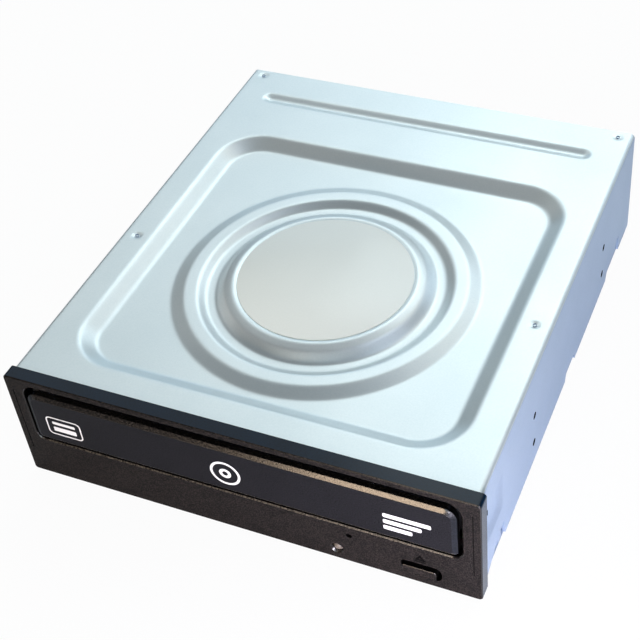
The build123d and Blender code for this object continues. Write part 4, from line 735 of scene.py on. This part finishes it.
# Contacts of the data and power plug; rows: x of the first one from the middle, and how many
plug = {
    "x": 20.0, "rear": 169.1, "front": 162.6, "face": 7.65, "wide": 0.62, "pitch": 1.27, "thick": 0.09,
    "rows": [(-16.1, 15), (8.7, 7)], "rounded": 0.7, "round": 0.02, "segments": 2,
}


def makeContacts():
    work = bmesh.new()
    long = plug["rear"] - plug["front"]
    for start, count in plug["rows"]:
        for i in range(count):
            x = plug["x"] + start + plug["pitch"] * i
            for vertex in bmesh.ops.create_cube(work, size=1.0)["verts"]:
                vertex.co = Vector((
                    (x + vertex.co.x * plug["wide"]) * mm,
                    (frontY + plug["front"] + long / 2 + vertex.co.y * long) * mm,
                    (plug["face"] + vertex.co.z * plug["thick"]) * mm))
    # the long edges stay as they are
    edges = [edge for edge in work.edges if edge.calc_length() < plug["rounded"] * mm]
    bmesh.ops.bevel(work, geom=edges, offset=plug["round"] * mm, segments=plug["segments"], affect="EDGES")
    return fromBmesh(work, "plugContacts")


toObject("plugContacts", makeContacts(), "goldContact", "drive_body", smoothDeg=35)
print("thread and contacts done")

# Eject sign on the bezel: a dark triangle over a bar, a hair proud
sign = {
    "x": 55.8, "base": 10.45, "half": 1.7, "apex": 12.9, "bar": 0.32, "gap": 0.42, "line": 0.62,
    "proud": 0.05, "back": 0.3,
    # line widths from the peak down to its inner corner, and along the base to the two lower ones
    "peak": 1.9, "foot": 1.6,
}


def makeSign():
    work = bmesh.new()

    def strip(points):
        front = [work.verts.new((x * mm, (frontY - sign["proud"]) * mm, z * mm)) for x, z in points]
        back = [work.verts.new((x * mm, (frontY + sign["back"]) * mm, z * mm)) for x, z in points]
        work.faces.new(front)
        work.faces.new(back[::-1])
        band(work, front, back)

    x, base, half, line, apex = sign["x"], sign["base"], sign["half"], sign["line"], sign["apex"]
    inner = line / math.sin(math.atan2(apex - base, half))
    peak, foot = apex - line * sign["peak"], inner * sign["foot"]
    strip([(x - half, base), (x - half + inner, base), (x, peak), (x, apex)])
    strip([(x, apex), (x, peak), (x + half - inner, base), (x + half, base)])
    strip([(x - half + inner, base), (x + half - inner, base), (x + half - foot, base + line),
           (x - half + foot, base + line)])
    low = base - sign["gap"] - sign["bar"]
    high = low + sign["bar"]
    strip([(x - half, low), (x + half, low), (x + half, high), (x - half, high)])
    bmesh.ops.recalc_face_normals(work, faces=work.faces)
    return fromBmesh(work, "ejectSign")


toObject("ejectSign", makeSign(), "printAndShadeBlack", "drive_body")

# Plain print on the door: a frame with two bars, two rings, three bars
marks = {
    # raised and sunk: mm before and behind the door's face; corner and round: steps of a corner and a ring
    "raised": 0.03, "sunk": 0.05, "corner": 6, "round": 64,
    # centre x and z, half width and half height, corner radius and, for a frame, width of the line
    "frames": [(-56.0, 25.8, 6.0, 3.8, 1.6, 0.45)],
    "bars": [(-56.0, 27.2, 3.9, 0.55, 0.3), (-56.0, 24.6, 3.9, 0.9, 0.3),
             (53.0, 28.1, 7.0, 0.8, 0.4), (51.6, 25.5, 5.6, 0.8, 0.4), (50.2, 22.9, 4.2, 0.8, 0.4)],
    # centre x and z, outer and inner radius
    "rings": [(-2.2, 26.4, 4.8, 4.0), (-2.2, 26.4, 1.9, 0.9)],
}


def roundedLoop(x, z, halfX, halfZ, radius):
    loop = []
    for quarter, (sx, sz) in enumerate(((1, 1), (-1, 1), (-1, -1), (1, -1))):
        for i in range(marks["corner"] + 1):
            turn = math.radians(90 * (quarter + i / marks["corner"]))
            loop.append((x + sx * (halfX - radius) + radius * math.cos(turn),
                         z + sz * (halfZ - radius) + radius * math.sin(turn)))
    return loop


def circleLoop(x, z, radius):
    turns = [2 * math.pi * i / marks["round"] for i in range(marks["round"])]
    return [(x + radius * math.cos(turn), z + radius * math.sin(turn)) for turn in turns]


def makeMarks():
    work = bmesh.new()
    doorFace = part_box("tray_door")[0][1]
    front, back = doorFace - marks["raised"] * mm, doorFace + marks["sunk"] * mm

    def verts(loop, y):
        return [work.verts.new((x * mm, y, z * mm)) for x, z in loop]

    def printed(outer, inner=None):
        outerFront, outerBack = verts(outer, front), verts(outer, back)
        band(work, outerBack, outerFront)
        if inner is None:
            work.faces.new(outerFront)
            work.faces.new(outerBack[::-1])
            return
        innerFront, innerBack = verts(inner, front), verts(inner, back)
        band(work, innerFront, innerBack)
        band(work, outerFront, innerFront)
        band(work, innerBack, outerBack)

    for x, z, halfX, halfZ, radius, line in marks["frames"]:
        printed(roundedLoop(x, z, halfX, halfZ, radius),
                roundedLoop(x, z, halfX - line, halfZ - line, radius - line))
    for x, z, halfX, halfZ, radius in marks["bars"]:
        printed(roundedLoop(x, z, halfX, halfZ, radius))
    for x, z, outer, inner in marks["rings"]:
        printed(circleLoop(x, z, outer), circleLoop(x, z, inner))
    bmesh.ops.recalc_face_normals(work, faces=work.faces)
    return fromBmesh(work, "doorPrint")


toObject("doorPrint", makeMarks(), "markPrint", bodyOf("tray_door"))
print("signs done")

# Camera: place, lens and shift as fitted to the photo, clipping distances in metres
view = {
    "place": (0.14339, -0.28377, 0.31337), "sensor": 36, "lens": 73.764, "shiftX": -0.07195,
    "shiftY": -0.0616, "near": 0.01, "far": 30,
    "right": (0.92378509, 0.37669784, -0.0687012), "down": (0.20649868, -0.64119216, -0.73907436),
    "ahead": (-0.32245838, 0.66855916, -0.67011136),
}
camera = bpy.data.cameras.new("camera")
camera.sensor_width = view["sensor"]
camera.lens = view["lens"]
camera.shift_x = view["shiftX"]
camera.shift_y = view["shiftY"]
camera.clip_start = view["near"]
camera.clip_end = view["far"]
cameraObject = bpy.data.objects.new("camera", camera)
turn = Matrix((view["right"], [-v for v in view["down"]], [-v for v in view["ahead"]])).transposed()
cameraObject.matrix_world = Matrix.Translation(view["place"]) @ turn.to_4x4()
link(cameraObject)
bpy.context.scene.camera = cameraObject

# Lamps
lamps = {
    # place and size in metres, power in watts
    "rearHigh": dict(place=(0, 0.99, 1.00), size=(0.8, 0.8), power=6.1, colour=(0.87, 0.98, 1.0)),
    "rightHigh": dict(place=(0.90, 0, 1.09), size=(0.8, 0.8), power=3.0, colour=(0.72, 0.82, 1.0)),
    "rightRearHigh": dict(place=(0.64, 0.64, 1.09), size=(0.8, 0.8), power=1.8, colour=(1.0, 0.90, 0.74)),
    "leftRearHigh": dict(place=(-0.64, 0.64, 1.09), size=(0.8, 0.8), power=2.4, colour=(0.94, 1.0, 0.99)),
    "rightRearLow": dict(place=(0.57, 0.99, 0.39), size=(0.6, 0.5), power=1.7, colour=(0.70, 0.85, 1.0)),
    "leftRearLow": dict(place=(-0.57, 0.99, 0.39), size=(0.6, 0.5), power=0.9, colour=(0.55, 0.8, 1.0)),
    "leftLow": dict(place=(-1.14, 0, 0.39), size=(0.6, 0.5), power=0.9, colour=(1.0, 0.95, 0.9)),
    "frontLow": dict(place=(0.30, -1.10, 0.39), size=(0.6, 0.5), power=4.6, colour=(0.76, 0.92, 1.0)),
    "floorLevel": dict(place=(-0.07, -0.70, 0.075), size=(0.24, 0.11), power=2.0, colour=(1.0, 0.76, 0.54)),
    "room": dict(place=(-0.13, -0.87, 0.58), size=(0.22, 0.22), power=0.54, colour=(1.0, 0.86, 0.70)),
    "desk": dict(place=(0.125, -0.20, 0.03), aim=(0.05, -0.085, 0.015), size=(0.06, 0.04), power=0.50,
                 colour=(0.92, 0.87, 1.0)),
}
lampAim = (0, 0, 0.02)
for name, lamp in lamps.items():
    light = bpy.data.lights.new(name, "AREA")
    light.shape = "RECTANGLE"
    light.size, light.size_y = lamp["size"]
    light.energy = lamp["power"]
    light.color = lamp["colour"]
    lampObject = bpy.data.objects.new(name, light)
    lampObject.location = lamp["place"]
    aim = Vector(lamp.get("aim", lampAim)) - Vector(lamp["place"])
    lampObject.rotation_euler = aim.to_track_quat("-Z", "Y").to_euler()
    lampObject.visible_camera = False
    link(lampObject)

# Sky: from the lower to the upper share of the height its colour fades from the first to the second
skyLook = {"fade": [(0.3, (0.03, 0.033, 0.037)), (0.75, (0.12, 0.125, 0.13))], "strength": 0.9}
world = bpy.data.worlds.new("world")
bpy.context.scene.world = world
world.use_nodes = True
sky = world.node_tree
ambient = sky.nodes["Background"]
ambient.inputs["Strength"].default_value = skyLook["strength"]
coordinate = addNode(sky, "ShaderNodeTexCoord", {})
split = addNode(sky, "ShaderNodeSeparateXYZ", {})
fade = addNode(sky, "ShaderNodeValToRGB", {})
setRamp(fade, skyLook["fade"])
wire(sky, [
    (coordinate.outputs["Generated"], split.inputs[0]),
    (split.outputs["Z"], fade.inputs["Fac"]),
    (fade.outputs["Color"], ambient.inputs["Color"]),
])

# White floor: half its width and its height in metres, how much of it glows for the camera and in mirrors
ground = {"reach": 6.0, "z": -0.0002, "colour": (0.86, 0.87, 0.88), "rough": 0.9, "seen": 0.95,
          "mirrored": 0.15}
reach, low = ground["reach"], ground["z"]
corners = [(-reach, -reach, low), (reach, -reach, low), (reach, reach, low), (-reach, reach, low)]
floorMesh = fromPoints("floor", corners, [(0, 1, 2, 3)])
floor = bpy.data.objects.new("floor", floorMesh)
link(floor)
paper, matt = newMaterial("paper")
tree = paper.node_tree
matt.inputs["Base Color"].default_value = (*ground["colour"], 1)
matt.inputs["Roughness"].default_value = ground["rough"]
glow = addNode(tree, "ShaderNodeEmission", {"Color": (1, 1, 1, 1), "Strength": 1.0})
path = addNode(tree, "ShaderNodeLightPath", {})
seen = addNode(tree, "ShaderNodeMath", {}, "MAXIMUM")
direct = addNode(tree, "ShaderNodeMath", {1: ground["seen"]}, "MULTIPLY")
# metal and plastic mirror the white floor with more of the object's shadow left in it
amount = addNode(tree, "ShaderNodeMath", {1: ground["mirrored"]}, "MULTIPLY_ADD")
mix = addNode(tree, "ShaderNodeMixShader", {})
wire(tree, [
    (path.outputs["Is Camera Ray"], seen.inputs[0]),
    (path.outputs["Is Transmission Ray"], seen.inputs[1]),
    (seen.outputs[0], direct.inputs[0]),
    (path.outputs["Is Glossy Ray"], amount.inputs[0]),
    (direct.outputs[0], amount.inputs[2]),
    (amount.outputs[0], mix.inputs[0]),
    (matt.outputs[0], mix.inputs[1]),
    (glow.outputs[0], mix.inputs[2]),
    (mix.outputs[0], tree.nodes["Material Output"].inputs["Surface"]),
])
floorMesh.materials.append(paper)
bpy.context.scene.view_settings.view_transform = "Standard"

print("scene done")
